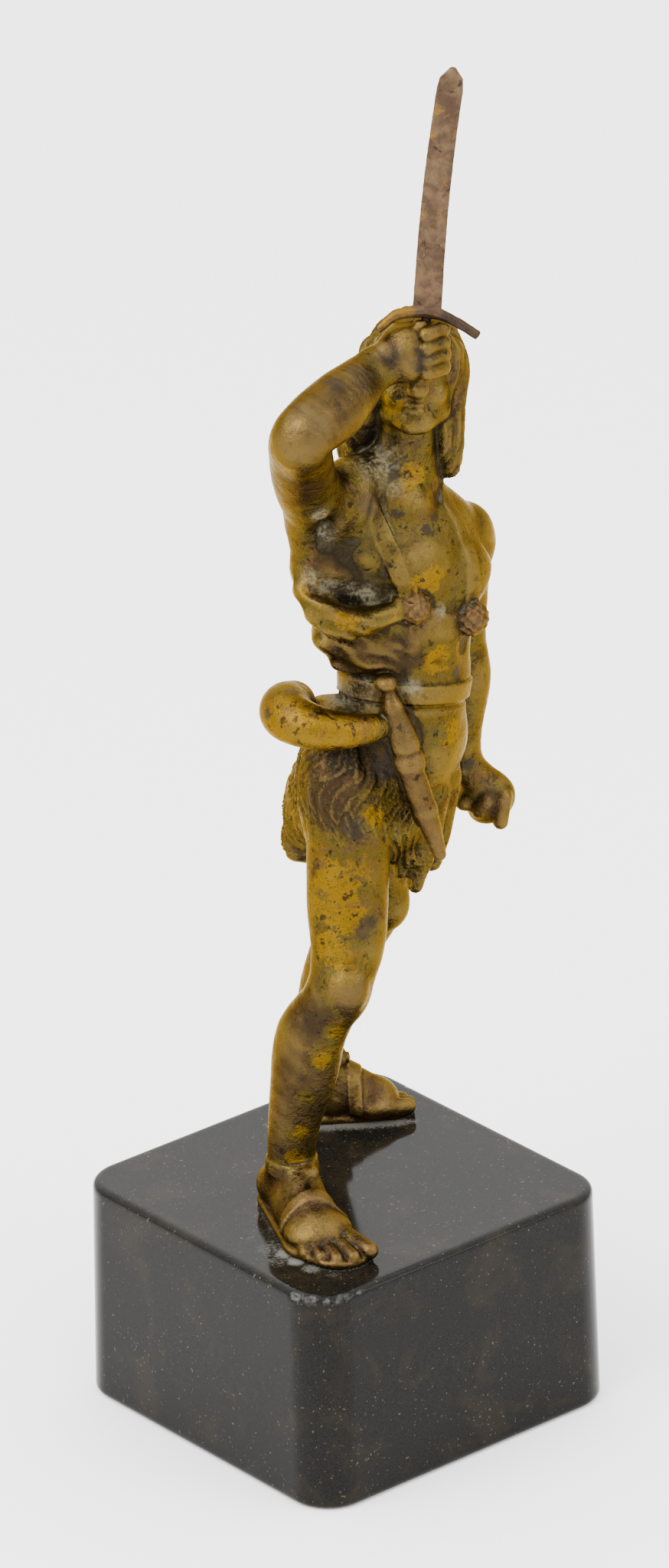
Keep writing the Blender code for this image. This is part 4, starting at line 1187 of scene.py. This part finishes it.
def sword_piece():
    """The cast blade and quillons with the small dents and file marks of an old cast."""
    bm = bmesh.new()
    bm.from_mesh(solid_copy("sword"))
    bmesh.ops.remove_doubles(bm, verts=bm.verts, dist=0.00001)
    bmesh.ops.subdivide_edges(bm, edges=bm.edges, cuts=3, use_grid_fill=True)
    bm.normal_update()
    for v in bm.verts:
        x, y, z = (1000 * k for k in v.co)
        dent = math.sin(2.1 * x + 1.3 * z) * math.sin(1.7 * y + 0.9 * z) * math.sin(1.1 * z + 0.6 * x)
        fine_dent = math.sin(5.1 * x + 4.3 * z) * math.sin(6.0 * y + 3.1 * z)
        v.co -= v.normal * (0.000035 + 0.00005 * dent + 0.00002 * fine_dent)
    mesh = bpy.data.meshes.new("sword_fine")
    bm.to_mesh(mesh)
    bm.free()
    at = points_of(mesh).astype(float)
    side, _ = in_clay(at)
    level = (at[:, 2] - BLOCK_HEIGHT) / UNIT
    low = smooth_step((1282 - level) / 14)
    add_marks(mesh, {"gilt": low * smooth_step((128 - side) / 20),
                     "dark": low * smooth_step((side - 146) / 12)})
    mesh.shade_smooth()
    mesh.set_sharp_from_angle(angle=math.radians(38))
    obj = add_object("sword_fine", mesh, sword_material())
    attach(obj, "root")
    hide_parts("sword")


def floor_piece():
    bpy.ops.mesh.primitive_plane_add(size=8.0, location=(0, 0, -0.0002))
    floor = bpy.context.object
    floor.name = "floor"
    floor.data.materials.append(Graph("floor_white").surface(colour=FLOOR_WHITE, rough=0.9))


# Light and camera

HORIZON_LIGHT = 1.9
ZENITH_LIGHT = 5.0
KEY_POWER = 34
FILL_POWER = 8
EYE_DISTANCE = 13700.0
EYE_LIFT = math.radians(27.0)
EYE_LEAN = 0.026
AIM_RIGHT = 3.5
AIM_UP = 519.3
FRAME_TALL = 2048.0
SENSOR_TALL = 24.0


def area_light(name, place, aim, size, power):
    data = bpy.data.lights.new(name, "AREA")
    data.shape = "RECTANGLE"
    data.size = size[0]
    data.size_y = size[1]
    data.energy = power
    obj = bpy.data.objects.new(name, data)
    bpy.context.scene.collection.objects.link(obj)
    obj.location = place
    obj.rotation_euler = (Vector(aim) - Vector(place)).to_track_quat("-Z", "Y").to_euler()


def camera():
    """The photograph's eye: far off, 27 degrees up, leaning a degree and a half."""
    right = Vector((math.cos(VIEW_TURN), math.sin(VIEW_TURN), 0))
    level = math.cos(EYE_LIFT)
    back = Vector((math.sin(VIEW_TURN) * level, -math.cos(VIEW_TURN) * level, math.sin(EYE_LIFT)))
    up = back.cross(right)
    z = (back * EYE_DISTANCE - right * AIM_RIGHT - up * AIM_UP).normalized()
    x = (up + EYE_LEAN * right).cross(z).normalized()
    y = z.cross(x)
    place = Vector((0, 0, BLOCK_HEIGHT)) + back * EYE_DISTANCE * UNIT
    data = bpy.data.cameras.new("camera")
    data.sensor_fit = "VERTICAL"
    data.sensor_height = SENSOR_TALL
    data.lens = EYE_DISTANCE / FRAME_TALL * SENSOR_TALL
    data.clip_start = 0.05
    data.clip_end = 30.0
    obj = bpy.data.objects.new("camera", data)
    bpy.context.scene.collection.objects.link(obj)
    obj.matrix_world = Matrix.Translation(place) @ Matrix((x, y, z)).transposed().to_4x4()
    bpy.context.scene.camera = obj


def studio():
    """A soft white room, brighter overhead, with a key light on the left and a weak fill on the right."""
    world = bpy.data.worlds.new("studio")
    bpy.context.scene.world = world
    world.use_nodes = True
    tree = world.node_tree
    sky = tree.nodes["Background"]
    sky.inputs["Color"].default_value = (1, 1, 1, 1)
    place = tree.nodes.new("ShaderNodeTexCoord")
    split = tree.nodes.new("ShaderNodeSeparateXYZ")
    rise = tree.nodes.new("ShaderNodeMapRange")
    tree.links.new(place.outputs["Generated"], split.inputs[0])
    tree.links.new(split.outputs["Z"], rise.inputs["Value"])
    rise.inputs["To Min"].default_value = HORIZON_LIGHT
    rise.inputs["To Max"].default_value = ZENITH_LIGHT
    tree.links.new(rise.outputs["Result"], sky.inputs["Strength"])
    c, s = math.cos(VIEW_TURN), math.sin(VIEW_TURN)

    def at(side, away, high):
        return (c * side - s * away, s * side + c * away, high)

    area_light("key", at(-0.9, -0.7, 1.1), at(0, 0, 0.15), (1.1, 1.1), KEY_POWER)
    area_light("fill", at(1.0, -0.5, 0.7), at(0, 0, 0.15), (0.6, 0.9), FILL_POWER)


camera()
studio()
floor_piece()
figure_piece()
stone_piece()
sword_piece()
